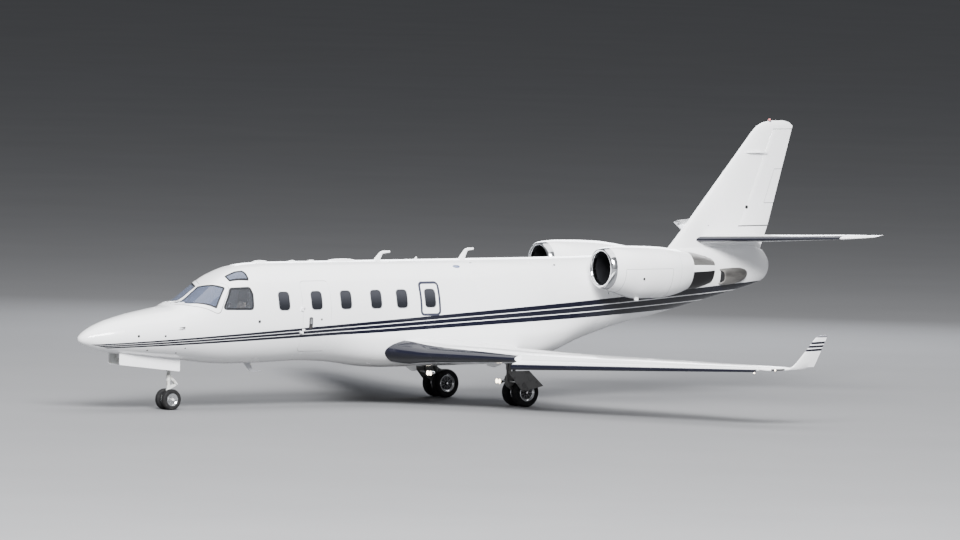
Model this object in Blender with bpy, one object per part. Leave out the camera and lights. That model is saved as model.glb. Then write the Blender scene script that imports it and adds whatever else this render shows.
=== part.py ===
# A twin-engine business jet, full size, parked on its landing gear.
# Metres, +Z up, ground at z = 0. The nose points to -X and the left wing to -Y.
# Lengths along the aircraft are stations: metres aft of the nose tip. An empty
# called datum shifts them so that the part's origin lies at mid length.

import math

import bmesh
import bpy
from mathutils import Vector

# Driving sizes

LENGTH = 16.94
HEIGHT = 5.54
SKIN = 0.06              # depth of the fuselage wall, skin and lining together
SEAT = 0.0003            # space kept between two pieces that touch
MOVE_GAP = 0.006         # space round a moving panel
PIN_R = 0.004            # hinge pins of the control surfaces
PIN_GAP = 0.0008
RING = 32                # points round the fuselage

WHEELBASE_NOSE = 2.09    # station of the nose wheels
MAIN_X = 9.45            # station of the main wheels
MAIN_Y = 1.385           # half of the wheel track
MAIN_R = 0.284
MAIN_WIDTH = 0.178
NOSE_R = 0.203
NOSE_WIDTH = 0.112

# Fuselage lines: station and value

TOP = ((0.0, 1.43), (0.05, 1.485), (0.15, 1.56), (0.36, 1.668), (0.86, 1.825), (1.46, 1.945), (1.86, 2.005),
       (1.97, 2.06), (2.08, 2.09), (2.28, 2.105), (2.40, 2.165), (2.54, 2.265), (2.75, 2.415), (3.10, 2.635),
       (3.45, 2.765), (3.80, 2.825), (4.3, 2.845), (10.5, 2.845), (12.0, 2.86), (13.2, 2.91), (14.2, 2.99),
       (15.4, 3.05), (15.9, 3.03), (16.10, 2.98), (16.25, 2.90), (16.34, 2.80), (16.41, 2.66))
BOTTOM = ((0.0, 1.37), (0.05, 1.32), (0.15, 1.27), (0.42, 1.18), (0.80, 1.115), (1.5, 1.04), (2.36, 0.96),
          (2.88, 0.905), (3.42, 0.885), (4.2, 0.88), (10.0, 0.90), (10.89, 1.00), (11.67, 1.21), (12.5, 1.44),
          (13.61, 1.67), (14.54, 1.88), (15.71, 2.15), (16.20, 2.29), (16.34, 2.40), (16.41, 2.56))
WIDE = ((0.0, 0.03), (0.05, 0.12), (0.15, 0.20), (0.5, 0.36), (1.0, 0.50), (1.6, 0.62), (2.3, 0.71),
        (3.2, 0.77), (4.0, 0.785), (9.5, 0.785), (11.0, 0.745), (12.5, 0.62), (14.0, 0.42), (15.5, 0.21),
        (16.25, 0.12), (16.41, 0.05))
MIDDLE = ((0.0, 1.40), (0.8, 1.46), (2.3, 1.60), (4.0, 1.75), (10.0, 1.75), (12.0, 2.00), (14.0, 2.35),
          (16.41, 2.61))
# The section is nearly an ellipse; its upper half is squarer at the windshield.
SQUARE = ((0.0, 2.13), (1.5, 2.15), (1.95, 2.5), (2.3, 3.0), (2.8, 3.0), (3.2, 2.7), (3.7, 2.3), (4.2, 2.13))
BEND_WIDE = 0.94
BEND_TALL = 0.96

RADOME_END = 0.80
NOSE_END = 1.95
COCKPIT_END = 4.02
CABIN_END = 9.95
TAIL_END = 16.41

# Openings in the fuselage

WINDOWS = (4.27, 5.02, 5.71, 6.42, 7.03, 7.70)
WINDOW_Z = 2.125
WINDOW_W = 0.26
WINDOW_H = 0.35
DOOR = (4.69, 5.35, 1.12, 2.49)
DOOR_HINGE = (4.675, -0.80)
DOOR_KNUCKLES = (1.48, 1.92)
KNUCKLE_R = 0.012
EXIT = (7.47, 7.94, 1.79, 2.41)
EXIT_GAP = 0.0006
CARRIER = (SKIN + 0.009, SKIN + 0.020)    # depths of the strip that holds the panes behind the wall
PANE_BACK = SKIN + 0.015
COCKPIT_CARRIER = (SKIN + SEAT, SKIN + 0.014)
CARRIER_STATIONS = (3.0, 3.15, 3.3, 3.5)  # rings of the cockpit wall, so that strip and wall lie parallel
CARRIER_ARC = (22.5, 78.75)               # degrees down from the crown, also on the wall's own points
BAY = (0.85, 2.26, 0.19, 1.24)    # nose wheel bay: stations, half width, roof

# Wing

KINK = 3.0
TIP = 7.97
ROOT = 0.55
FLAP = (0.96, 5.30)
FLAP_FRACTION = (0.884, 0.76)     # share of the chord ahead of the flap, at its root and from the kink out
AILERON = (5.34, 7.72, 0.76)
SLAT = (3.03, 7.95)
SLAT_BAY = 0.078          # share of the chord that the wing is cut back behind the slat
SLAT_FORWARD = 0.108      # how far the drooped slat's lip stands ahead of the wing
SLAT_LOW = (0.905, 0.04)  # height of the slat's nose at the kink, and its rise for each metre out
SLAT_DEEP = 0.13          # share of the chord that the slat covers
SLAT_TALL = 0.0397
SLAT_SECTION = ((0.0, 0.0), (0.05, 0.55), (0.22, 0.95), (0.55, 1.35), (1.0, 1.75), (0.55, 1.0), (0.42, 0.3),
                (0.42, -0.55), (0.22, -0.75), (0.06, -0.5))
SLAT_TRACKS = (3.6, 5.4, 7.2)
BAY_GAP = 0.012           # space round a hinged surface in its bay

# Fairing under the cabin: station, half width, and how far it swells
FAIRING = ((5.5, 0.70, 0.10), (5.9, 0.80, 0.30), (6.5, 0.86, 0.75), (7.2, 0.885, 1.0), (8.5, 0.895, 1.0),
           (10.0, 0.885, 1.0), (10.8, 0.84, 0.8), (11.4, 0.78, 0.45), (11.9, 0.68, 0.15))
FAIRING_POINTS = 28

# Engines

ENGINE_Y = 1.08
ENGINE_Z = 2.67
LIP_X = 11.53
COWL_X = 11.65
COWL_END = 13.56
REVERSER_X = 13.86
REVERSER_END = 14.12
FAN_X = 12.02
FAN_R = 0.326
FAN_BLADES = 16
FAN_ROOT = 0.125
DUCT_R = 0.336
INTAKE_R = 0.318
LIP_R = 0.365
ENGINE_POINTS = 28
# Station, half width, and reach above and below the shaft
COWL = ((COWL_X, 0.437, 0.415, 0.422), (11.80, 0.475, 0.431, 0.470), (12.0, 0.505, 0.437, 0.530),
        (12.35, 0.520, 0.433, 0.612), (12.9, 0.508, 0.408, 0.608), (13.3, 0.455, 0.360, 0.545),
        (COWL_END, 0.400, 0.322, 0.468))
REVERSER = ((COWL_END, 0.398, 0.320, 0.464), (REVERSER_X, 0.345, 0.255, 0.425),
            (REVERSER_END, 0.290, 0.170, 0.350))
REVERSER_BORE = ((REVERSER_END, 0.250, 0.130, 0.310), (REVERSER_X, 0.275, 0.205, 0.345),
                 (COWL_END, 0.285, 0.270, 0.285))
CORE = ((12.24, 0.05), (12.32, 0.05), (12.5, 0.20), (12.6, DUCT_R - 2 * SEAT), (12.8, DUCT_R - 2 * SEAT),
        (12.9, 0.24), (13.9, 0.17))
PYLON = ((11.95, 2.655), (12.05, 2.69), (12.4, 2.715), (13.3, 2.71), (13.85, 2.665), (13.3, 2.62),
         (12.4, 2.61), (12.05, 2.625))
PYLON_REACH = (0.12, 0.80)

# Landing gear doors, seen from the side, and how far out each one stands

NOSE_DOOR = ((0.87, 0.93), (0.87, 1.16), (1.5, 1.12), (2.24, 1.06), (2.24, 0.75), (1.6, 0.86))
NOSE_DOOR_Y = (0.192, 0.207)
MAIN_DOOR = ((8.915, 0.72), (9.43, 0.725), (9.78, 0.415), (9.37, 0.33), (9.25, 0.345))
MAIN_DOOR_Y = (1.690, 1.712)
DOOR_ARM = (0.66, 0.70)   # low and high edge of the arm that holds the main door on the leg
AXLE_GAP = 0.0009

# Scoop on the tail: station, half width, low and high edge. Aerial on the crown, seen from the side.

SCOOP = ((14.95, 0.11, 2.30, 2.56), (15.15, 0.12, 2.26, 2.60), (15.45, 0.10, 2.30, 2.60),
         (15.66, 0.04, 2.40, 2.54))
CROWN_AERIAL = ((6.82, 2.80), (6.98, 2.80), (7.23, 3.02), (7.10, 3.02), (6.90, 2.90))

scene = bpy.context.scene
for old in list(bpy.data.objects):
    bpy.data.objects.remove(old, do_unlink=True)

datum = bpy.data.objects.new("datum", None)
datum.location = (-LENGTH / 2, 0.0, 0.0)
scene.collection.objects.link(datum)


# Materials

def paint(name, color, roughness, metallic=0.0):
    """A plain surface of one colour."""
    material = bpy.data.materials.new(name)
    material.use_nodes = True
    shader = material.node_tree.nodes["Principled BSDF"]
    shader.inputs["Base Color"].default_value = (*color, 1.0)
    shader.inputs["Roughness"].default_value = roughness
    shader.inputs["Metallic"].default_value = metallic
    return material


WHITE = paint("white_paint", (0.86, 0.86, 0.85), 0.2)
BOOT = paint("black_boot", (0.03, 0.035, 0.045), 0.4)
POLISH = paint("polished_lip", (0.8, 0.8, 0.8), 0.12, 1.0)
DARK_METAL = paint("hot_metal", (0.16, 0.15, 0.14), 0.35, 1.0)
STEEL = paint("gear_metal", (0.6, 0.61, 0.62), 0.35, 0.9)
TYRE = paint("tyre_rubber", (0.025, 0.025, 0.025), 0.8)
GLASS = paint("cockpit_glass", (0.20, 0.25, 0.28), 0.08)
SMOKED = paint("smoked_glass", (0.03, 0.03, 0.035), 0.08)
LINING = paint("grey_lining", (0.45, 0.44, 0.42), 0.8)
LEATHER = paint("seat_leather", (0.62, 0.55, 0.45), 0.6)
TITANIUM = paint("fan_titanium", (0.35, 0.36, 0.38), 0.3, 1.0)


# Mesh helpers

def smooth(table, x):
    """Value of a line given by its points, with soft bends between them."""
    if x <= table[0][0]:
        return table[0][1]
    if x >= table[-1][0]:
        return table[-1][1]
    count = len(table)
    i = max(k for k in range(count - 1) if table[k][0] <= x)
    steps = [(table[k + 1][1] - table[k][1]) / (table[k + 1][0] - table[k][0]) for k in range(count - 1)]

    def slope(k):
        if k in (0, count - 1):
            return steps[min(k, count - 2)]
        before, after = steps[k - 1], steps[k]
        if before * after <= 0:
            return 0.0
        return 2 * before * after / (before + after)

    x0, y0 = table[i]
    x1, y1 = table[i + 1]
    h = x1 - x0
    t = (x - x0) / h
    return (y0 * (1 + 2 * t) * (1 - t) ** 2 + slope(i) * h * t * (1 - t) ** 2
            + y1 * t * t * (3 - 2 * t) + slope(i + 1) * h * t * t * (t - 1))


def add_object(name, bm, material=None, origin=None):
    """Turn a bmesh into an object under the datum, its origin on a joint's axis if it has one."""
    bmesh.ops.remove_doubles(bm, verts=bm.verts, dist=0.00001)
    bmesh.ops.recalc_face_normals(bm, faces=bm.faces)
    if origin is not None:
        bmesh.ops.translate(bm, verts=bm.verts, vec=-Vector(origin))
    mesh = bpy.data.meshes.new(name)
    bm.to_mesh(mesh)
    bm.free()
    mesh.shade_smooth()
    mesh.set_sharp_from_angle(angle=math.radians(35))
    thing = bpy.data.objects.new(name, mesh)
    if material is not None:
        mesh.materials.append(material)
    if origin is not None:
        thing.location = origin
    thing.parent = datum
    scene.collection.objects.link(thing)
    return thing


def guide(name, bm):
    """A cutter: it shapes other objects and isn't one itself."""
    thing = add_object(name, bm)
    thing.hide_render = True
    thing.display_type = "WIRE"
    return thing


def combine(thing, other, operation):
    """Cut, join or keep what two shapes share."""
    modifier = thing.modifiers.new(other.name, "BOOLEAN")
    modifier.operation = operation
    modifier.solver = "EXACT"
    modifier.object = other


def bridge(bm, a, b):
    """Triangles between two rings, always split the same way so that nested skins keep their gap."""
    n = len(a)
    for i in range(n):
        k = (i + 1) % n
        bm.faces.new((a[i], a[k], b[k]))
        bm.faces.new((a[i], b[k], b[i]))


def loft(rings, closed=False, caps=True):
    """Skin over rings of equal point count; closed joins the last ring to the first."""
    bm = bmesh.new()
    rows = [[bm.verts.new(p) for p in ring] for ring in rings]
    pairs = list(zip(rows, rows[1:]))
    if closed:
        pairs.append((rows[-1], rows[0]))
    for a, b in pairs:
        bridge(bm, a, b)
    if caps and not closed:
        bm.faces.new(rows[0])
        bm.faces.new(rows[-1])
    return bm


def turned(profile, center, steps=32, axis="X", closed=True, flat=False):
    """Turn a profile of (distance along the axis, radius) points round an axis.

    With flat set, the flats lie at the stated radius and one of them faces down."""
    rings = []
    for along, radius in profile:
        ring = []
        if flat:
            radius /= math.cos(math.pi / steps)
        for i in range(steps):
            a = math.tau * (i + 0.5 * flat) / steps
            c, s = radius * math.cos(a), radius * math.sin(a)
            offset = {"X": (along, c, s), "Y": (c, along, s), "Z": (c, s, along)}[axis]
            ring.append(Vector(center) + Vector(offset))
        rings.append(ring)
    return loft(rings, closed=closed)


def box(low, high):
    """A block between two corners."""
    bm = bmesh.new()
    bmesh.ops.create_cube(bm, size=1.0)
    size = Vector(high) - Vector(low)
    middle = (Vector(high) + Vector(low)) / 2
    bmesh.ops.scale(bm, vec=size, verts=bm.verts)
    bmesh.ops.translate(bm, vec=middle, verts=bm.verts)
    return bm


def rod(start, end, radius, steps=16, end_radius=None):
    """A round bar between two points."""
    start, end = Vector(start), Vector(end)
    along = (end - start).normalized()
    side = along.orthogonal().normalized()
    up = along.cross(side)
    rings = []
    for point, r in ((start, radius), (end, radius if end_radius is None else end_radius)):
        ring = []
        for i in range(steps):
            a = math.tau * i / steps
            ring.append(point + side * (r * math.cos(a)) + up * (r * math.sin(a)))
        rings.append(ring)
    return loft(rings)


def plate(outline, low, high, across="Y"):
    """A flat outline given thickness along one axis."""
    rings = []
    for level in (low, high):
        if across == "Y":
            rings.append([Vector((a, level, b)) for a, b in outline])
        elif across == "Z":
            rings.append([Vector((a, b, level)) for a, b in outline])
        else:
            rings.append([Vector((level, a, b)) for a, b in outline])
    return loft(rings)


def rounded(x0, x1, z0, z1, radius, arc=4):
    """Outline of a rectangle with round corners."""
    points = []
    corners = ((x1 - radius, z1 - radius, 0), (x0 + radius, z1 - radius, 90),
               (x0 + radius, z0 + radius, 180), (x1 - radius, z0 + radius, 270))
    for cx, cz, start in corners:
        for i in range(arc):
            a = math.radians(start + 90 * i / (arc - 1))
            points.append((cx + radius * math.cos(a), cz + radius * math.sin(a)))
    return points


def fused(name, pieces, material, origin=None):
    """Join overlapping shapes into one solid."""
    first = add_object(name, pieces[0], material, origin)
    for i, bm in enumerate(pieces[1:]):
        combine(first, guide(f"{name}_add{i}", bm), "UNION")
    return first


# Fuselage section

def lines(x, inward=0.0):
    """Top, bottom, half width and widest height of the fuselage, and the power of its upper half."""
    half = max(smooth(WIDE, x) - inward, 0.004)
    return smooth(TOP, x) - inward, smooth(BOTTOM, x) + inward, half, smooth(MIDDLE, x), 2 / smooth(SQUARE, x)


def section(x, inward=0.0):
    """Ring of fuselage points at a station, moved inward by a depth."""
    top, bottom, half, middle, upper = lines(x, inward)
    points = []
    for i in range(RING):
        a = math.tau * i / RING
        c, s = math.cos(a), math.sin(a)
        y = half * math.copysign(abs(s) ** (upper if c > 0 else BEND_WIDE), s)
        reach = (top - middle) if c > 0 else (middle - bottom)
        z = middle + reach * math.copysign(abs(c) ** BEND_TALL, c)
        points.append(Vector((x, y, z)))
    return points


def side_y(x, z, inward=0.0):
    """Half width of the fuselage at a station and height."""
    top, bottom, half, middle, upper = lines(x, inward)
    reach = (top - middle) if z > middle else (middle - bottom)
    c = min(abs(z - middle) / reach, 1.0) ** (1 / BEND_TALL)
    return half * math.sqrt(1 - c * c) ** (upper if z > middle else BEND_WIDE)


def spread(start, end, step):
    """Stations from start to end at about equal steps."""
    count = max(1, round((end - start) / step))
    return [start + (end - start) * i / count for i in range(count + 1)]


def fuselage_solid(stations, inward=0.0):
    return loft([section(x, inward) for x in stations])


def hollow(outer, inner, open_back=True):
    """A wall between an outer and an inner row of rings, open at the front."""
    bm = bmesh.new()
    outer = [[bm.verts.new(p) for p in ring] for ring in outer]
    inner = [[bm.verts.new(p) for p in ring] for ring in inner]
    for rows in (outer, inner):
        for a, b in zip(rows, rows[1:]):
            bridge(bm, a, b)
        if not open_back:
            bm.faces.new(rows[-1])
    bridge(bm, outer[0], inner[0])
    if open_back:
        bridge(bm, outer[-1], inner[-1])
    return bm


def fuselage_tube(stations):
    return hollow([section(x) for x in stations], [section(x, SKIN) for x in stations])


NOSE_STATIONS = [0.0, 0.03, 0.10, 0.22, 0.42, RADOME_END]
COCKPIT_STATIONS = [NOSE_END, 2.08, 2.28, 2.40, 2.54, 2.68, 2.84, 3.0, 3.15, 3.3, 3.5, 3.7, COCKPIT_END]
CABIN_STATIONS = spread(COCKPIT_END, CABIN_END, 1.2)
TAIL_STATIONS = [CABIN_END, 10.5, 11.1, 11.7, 12.4, 13.1, 13.8, 14.5, 15.2, 15.9, 16.25, 16.34, TAIL_END]
ALL_STATIONS = (NOSE_STATIONS + [1.1, 1.5] + COCKPIT_STATIONS + CABIN_STATIONS[1:] + TAIL_STATIONS[1:])

whole_fuselage = guide("whole_fuselage", fuselage_solid(ALL_STATIONS, -SEAT))
cabin_space = guide("cabin_space", fuselage_solid([NOSE_END] + COCKPIT_STATIONS[1:] + CABIN_STATIONS[1:],
                                                 SKIN + SEAT))


def skin_plate(outline, outer, inner, side):
    """A plate that follows the fuselage side between two depths, under a side-view outline."""
    rings = []
    for depth in (outer, inner):
        rings.append([Vector((x, side * side_y(x, z, depth), z)) for x, z in outline])
    return loft(rings)


def crown_z(x, y, inward=0.0):
    """Height of the fuselage's upper skin at a station and half width."""
    top, _, half, middle, upper = lines(x, inward)
    s = min(abs(y) / half, 1.0) ** (1 / upper)
    return middle + (top - middle) * math.sqrt(1 - s * s) ** BEND_TALL


def crown_plate(outline, outer, inner, side):
    """A plate that follows the fuselage's upper skin under an outline seen from above."""
    rings = []
    for depth in (outer, inner):
        rings.append([Vector((x, side * y, crown_z(x, y, depth))) for x, y in outline])
    return loft(rings)


def shrunk(outline, amount):
    """An outline drawn in towards its middle."""
    middle = (sum(p[0] for p in outline) / len(outline), sum(p[1] for p in outline) / len(outline))
    shape = []
    for a, b in outline:
        da, db = middle[0] - a, middle[1] - b
        size = math.hypot(da, db)
        shape.append((a + da * amount / size, b + db * amount / size))
    return shape


def sector_plate(stations, start, end, outer, inner, side, steps=5):
    """A curved strip of wall between two angles from the crown, its points in the wall's own order."""
    order = list(range(steps + 1))[::side]
    rings = []
    for x in stations:
        ring = []
        for depth, angles in ((outer, order), (inner, order[::-1])):
            top, _, half, middle, upper = lines(x, depth)
            for i in angles:
                a = math.radians(start + (end - start) * i / steps)
                ring.append(Vector((x, side * half * math.sin(a) ** upper,
                                    middle + (top - middle) * math.cos(a) ** BEND_TALL)))
        rings.append(ring)
    return loft(rings)


def grid_plate(x0, x1, z0, z1, outer, inner, side, columns=6, rows=2):
    """A curved rectangular strip of wall between two depths."""
    bm = bmesh.new()
    layers = []
    for depth in (outer, inner):
        layer = []
        for i in range(columns + 1):
            x = x0 + (x1 - x0) * i / columns
            layer.append([bm.verts.new((x, side * side_y(x, z0 + (z1 - z0) * j / rows, depth),
                                        z0 + (z1 - z0) * j / rows)) for j in range(rows + 1)])
        layers.append(layer)
    outer_layer, inner_layer = layers
    for i in range(columns):
        for j in range(rows):
            bm.faces.new((outer_layer[i][j], outer_layer[i + 1][j], outer_layer[i + 1][j + 1],
                          outer_layer[i][j + 1]))
            bm.faces.new((inner_layer[i][j], inner_layer[i][j + 1], inner_layer[i + 1][j + 1],
                          inner_layer[i + 1][j]))
    for i in range(columns):
        for j in (0, rows):
            bm.faces.new((outer_layer[i][j], inner_layer[i][j], inner_layer[i + 1][j], outer_layer[i + 1][j]))
    for j in range(rows):
        for i in (0, columns):
            bm.faces.new((outer_layer[i][j], outer_layer[i][j + 1], inner_layer[i][j + 1], inner_layer[i][j]))
    return bm


# Nose, cockpit, cabin and tail

def make_fuselage():
    add_object("radome", fuselage_solid(NOSE_STATIONS), WHITE)
    nose = add_object("nose_section",
                      fuselage_solid([RADOME_END + SEAT, 1.1, 1.5, NOSE_END - SEAT]), WHITE)
    cockpit = add_object("cockpit_section", fuselage_tube(COCKPIT_STATIONS), WHITE)
    cabin = add_object("cabin_section", fuselage_tube([COCKPIT_END + SEAT] + CABIN_STATIONS[1:-1] +
                                                      [CABIN_END - SEAT]), WHITE)
    start, end, half, roof = BAY
    bay = guide("nose_bay", box((start, -half, 0.5), (end, half, roof)))
    combine(nose, bay, "DIFFERENCE")
    combine(cockpit, bay, "DIFFERENCE")

    bm = hollow([section(x) for x in TAIL_STATIONS], [section(x, SKIN) for x in TAIL_STATIONS[:-3]], False)
    add_object("aft_fuselage", bm, WHITE)
    return cockpit, cabin


# Corners of the left windshield pane, and outlines of the windows behind it from the side and from above
PANE = ((2.237, -0.105, 2.09), (2.705, -0.075, 2.395), (2.955, -0.530, 2.372), (2.706, -0.668, 2.033))
SIDE_WINDOW = ((2.895, 2.00), (2.98, 2.13), (3.125, 2.375), (3.47, 2.385), (3.505, 2.26), (3.52, 1.99))
EYEBROW = ((3.19, 0.30), (3.36, 0.315), (3.49, 0.345), (3.545, 0.41), (3.545, 0.52), (3.36, 0.50),
           (3.18, 0.465))
PANE_GAP = 0.0015        # drawn in all round, so that the pane and its hole don't share a cut
PANE_REACH = 0.3


def pane_prism(side, inset=0.0):
    """A prism square to the flat plane of a windshield pane."""
    a, b, c, d = [Vector(p) for p in PANE]
    normal = (c - a).cross(d - b).normalized()
    middle = (a + b + c + d) / 4
    rings = []
    for level in (-PANE_REACH, PANE_REACH):
        ring = []
        for corner in (a, b, c, d):
            flat = corner - normal * (corner - middle).dot(normal)
            flat += (middle - flat).normalized() * inset
            ring.append(flat + normal * level)
        rings.append([Vector((p.x, -side * p.y, p.z)) for p in ring])
    return loft(rings)


def make_cockpit_glass(cockpit):
    """Windshield panes, side windows and eyebrow windows, each set in its own cut."""
    for side, word in ((-1, "left"), (1, "right")):
        cut = guide(f"windshield_cut_{word}", pane_prism(side))
        combine(cockpit, cut, "DIFFERENCE")
        glass = add_object(f"windshield_{word}", fuselage_tube(COCKPIT_STATIONS[1:9]), GLASS)
        combine(glass, guide(f"windshield_keep_{word}", pane_prism(side, PANE_GAP)), "INTERSECT")
        hole = guide(f"side_window_cut_{word}", plate(SIDE_WINDOW, side * 0.45, side * 0.95))
        combine(cockpit, hole, "DIFFERENCE")
        brow = guide(f"eyebrow_cut_{word}", plate([(x, side * y) for x, y in EYEBROW], 2.3, 2.9, "Z"))
        combine(cockpit, brow, "DIFFERENCE")
        carrier = sector_plate(CARRIER_STATIONS, *CARRIER_ARC, *COCKPIT_CARRIER, side)
        window = add_object(f"side_window_{word}", carrier, GLASS)
        shape = shrunk(SIDE_WINDOW, 0.003)
        combine(window, guide(f"side_pane_{word}", skin_plate(shape, 0.006, PANE_BACK, side)), "UNION")
        shape = shrunk(EYEBROW, 0.003)
        combine(window, guide(f"brow_pane_{word}", crown_plate(shape, 0.006, PANE_BACK, side)), "UNION")


def window_outline(x, grow=0.0):
    return rounded(x - WINDOW_W / 2 - grow, x + WINDOW_W / 2 + grow, WINDOW_Z - WINDOW_H / 2 - grow,
                   WINDOW_Z + WINDOW_H / 2 + grow, 0.09, 3)


def make_cabin_openings(cabin):
    """Windows, the entry door and the two exits over the wings."""
    x0, x1, z0, z1 = DOOR
    hx, hy = DOOR_HINGE
    swing = math.hypot(x1 - hx, 0.075)

    def door_shape(name, gap):
        """Side outline of the door; its aft edge is round about the hinge, so it swings clear."""
        outline = rounded(x0 - gap, x1 + gap, z0 - gap, z1 + gap, 0.10)
        prism = guide(f"{name}_prism", plate(outline, -0.95, -0.25))
        arc = []
        for i in range(9):
            a = math.radians(-24 + 60 * i / 8)
            arc.append((hx + (swing + gap) * math.cos(a), hy + (swing + gap) * math.sin(a)))
        sweep = guide(f"{name}_sweep", plate([(hx - 0.3, hy - 0.28)] + arc + [(hx - 0.3, hy + 0.55)],
                                             0.8, 2.8, across="Z"))
        combine(prism, sweep, "INTERSECT")
        return prism

    combine(cabin, door_shape("door_opening", MOVE_GAP), "DIFFERENCE")
    door = add_object("cabin_door", fuselage_tube(CABIN_STATIONS[:3]), WHITE, (hx, hy, (z0 + z1) / 2))
    combine(door, door_shape("door_panel", 0.0), "INTERSECT")
    for i, z in enumerate(DOOR_KNUCKLES):
        knuckle = turned([(z, KNUCKLE_R), (z + 0.05, KNUCKLE_R)], (hx, hy, 0), 12, "Z", closed=False)
        combine(cabin, guide(f"fixed_knuckle{i}", knuckle), "UNION")
        lug = box((hx - 0.05, hy, z + 0.005), (hx, hy + 0.045, z + 0.045))
        combine(cabin, guide(f"fixed_lug{i}", lug), "UNION")
        low = z + 0.05 + PIN_GAP
        knuckle = turned([(low, KNUCKLE_R), (low + 0.05, KNUCKLE_R)], (hx, hy, 0), 12, "Z", closed=False)
        combine(door, guide(f"door_knuckle{i}", knuckle), "UNION")
        lug = box((hx, hy - 0.008, low + 0.005), (hx + 0.045, hy + 0.008, low + 0.045))
        combine(door, guide(f"door_lug{i}", lug), "UNION")
        root = box((hx + 0.022, hy + 0.002, low + 0.005), (hx + 0.044, hy + 0.055, low + 0.045))
        combine(door, guide(f"door_lug_root{i}", root), "UNION")

    for side, word in ((-1, "left"), (1, "right")):
        ex0, ex1, ez0, ez1 = EXIT
        low, high = side * 0.4, side * 0.95
        hole = guide(f"exit_cut_{word}", plate(rounded(ex0, ex1, ez0, ez1, 0.09), low, high))
        combine(cabin, hole, "DIFFERENCE")
        gap = EXIT_GAP
        shape = guide(f"exit_keep_{word}",
                      plate(rounded(ex0 + gap, ex1 - gap, ez0 + gap, ez1 - gap, 0.09 - gap), low, high))
        exit_panel = add_object(f"exit_{word}", fuselage_tube(CABIN_STATIONS[2:5]), WHITE)
        combine(exit_panel, shape, "INTERSECT")
        for i, x in enumerate(WINDOWS):
            cut = guide(f"window_cut_{word}_{i}", plate(window_outline(x), low, high))
            target = cabin
            if i == 5:
                target = exit_panel
            if i == 1 and side < 0:
                target = door
            combine(target, cut, "DIFFERENCE")

        def pane(i):
            return skin_plate(window_outline(WINDOWS[i], -0.0006), 0.005, PANE_BACK, side)

        first = 2 if side < 0 else 0
        strip = grid_plate(WINDOWS[first] - 0.17, WINDOWS[5] + 0.17, 1.92, 2.33, *CARRIER, side, 4, 2)
        glazing = add_object(f"cabin_glazing_{word}", strip, SMOKED)
        for i in range(first, 6):
            combine(glazing, guide(f"pane_{word}_{i}", pane(i)), "UNION")
        if side < 0:
            strip = grid_plate(WINDOWS[0] - 0.17, WINDOWS[0] + 0.17, 1.92, 2.33, *CARRIER, side, 1, 2)
            front = add_object("front_window_left", strip, SMOKED)
            combine(front, guide("pane_front", pane(0)), "UNION")
            strip = grid_plate(WINDOWS[1] - 0.17, WINDOWS[1] + 0.17, 1.92, 2.33, *CARRIER, side, 1, 2)
            window = add_object("door_window", strip, SMOKED, (hx, hy, (z0 + z1) / 2))
            combine(window, guide("pane_door", pane(1)), "UNION")


def make_interior():
    """Floor, instrument panel and seats that show through the glass and the doorway."""
    floor_line = [(NOSE_END + 0.002, 1.24), (2.62, 1.24), (2.62, 1.04), (CABIN_END - 0.002, 1.04),
                  (CABIN_END - 0.002, 2.95), (CABIN_END - 0.04, 2.95), (CABIN_END - 0.04, 1.10), (2.70, 1.10),
                  (2.70, 1.30), (NOSE_END + 0.002, 1.30)]
    floor = add_object("cabin_floor", plate(floor_line, -0.9, 0.9), LINING)
    combine(floor, cabin_space, "INTERSECT")

    panel_line = [(2.30, 1.31), (2.40, 1.31), (2.62, 1.70), (2.62, 2.02), (2.36, 2.06), (2.28, 1.96)]
    panel_line = [(x, z if z > 1.31 else 1.30 + SEAT) for x, z in panel_line]
    panel = add_object("instrument_panel", plate(panel_line, -0.62, 0.62), BOOT)
    combine(panel, cabin_space, "INTERSECT")

    def seats(name, x, rows, outer):
        """Pairs of seats facing forward on a thin floor track, out to a half width."""
        base = 1.10 + SEAT
        pieces = [box((x - 0.05, -0.40, base), (x + 0.5 + 0.9 * (rows - 1), 0.40, base + 0.02))]
        for row in range(rows):
            for side in (-1, 1):
                start = x + 0.9 * row
                y0, y1 = sorted((side * 0.14, side * outer))
                outline = [(0.0, 0.28), (0.42, 0.26), (0.56, 0.98), (0.44, 1.0), (0.32, 0.42), (0.0, 0.42)]
                pieces.append(plate([(start + a, base + b) for a, b in outline], y0, y1))
                y0, y1 = sorted((side * 0.22, side * 0.38))
                pieces.append(box((start + 0.08, y0, base + 0.01), (start + 0.34, y1, base + 0.33)))
        fused(name, pieces, LEATHER)

    seats("crew_seats", 3.0, 1, 0.52)
    seats("cabin_seats", 5.75, 3, 0.58)


# Wing-like surfaces

AIRFOIL = (0.0, 0.006, 0.03, 0.09, 0.2, 0.36, 0.55, 0.76, 1.0)


def half_thickness(fraction):
    """Half thickness of a symmetric airfoil for a chord and a thickness of one."""
    f = fraction
    return 5 * (0.2969 * math.sqrt(f) - 0.126 * f - 0.3516 * f ** 2 + 0.2843 * f ** 3 - 0.1015 * f ** 4)


def airfoil_ring(front, back, ratio, normal, grow=0.0):
    """Points round an airfoil between its leading and trailing edge points."""
    front, back, normal = Vector(front), Vector(back), Vector(normal).normalized()
    along = (back - front).normalized()
    chord = (back - front).length
    front = front - along * grow
    upper, lower = [], []
    for f in AIRFOIL:
        half = half_thickness(f) * ratio * chord + grow
        point = front + along * (chord + 2 * grow) * f
        if f == 0.0:
            upper.append(point)
            continue
        if f == 1.0:
            half = 0.0025 + grow
        upper.append(point + normal * half)
        lower.append(point - normal * half)
    return upper + lower[::-1]


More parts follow.
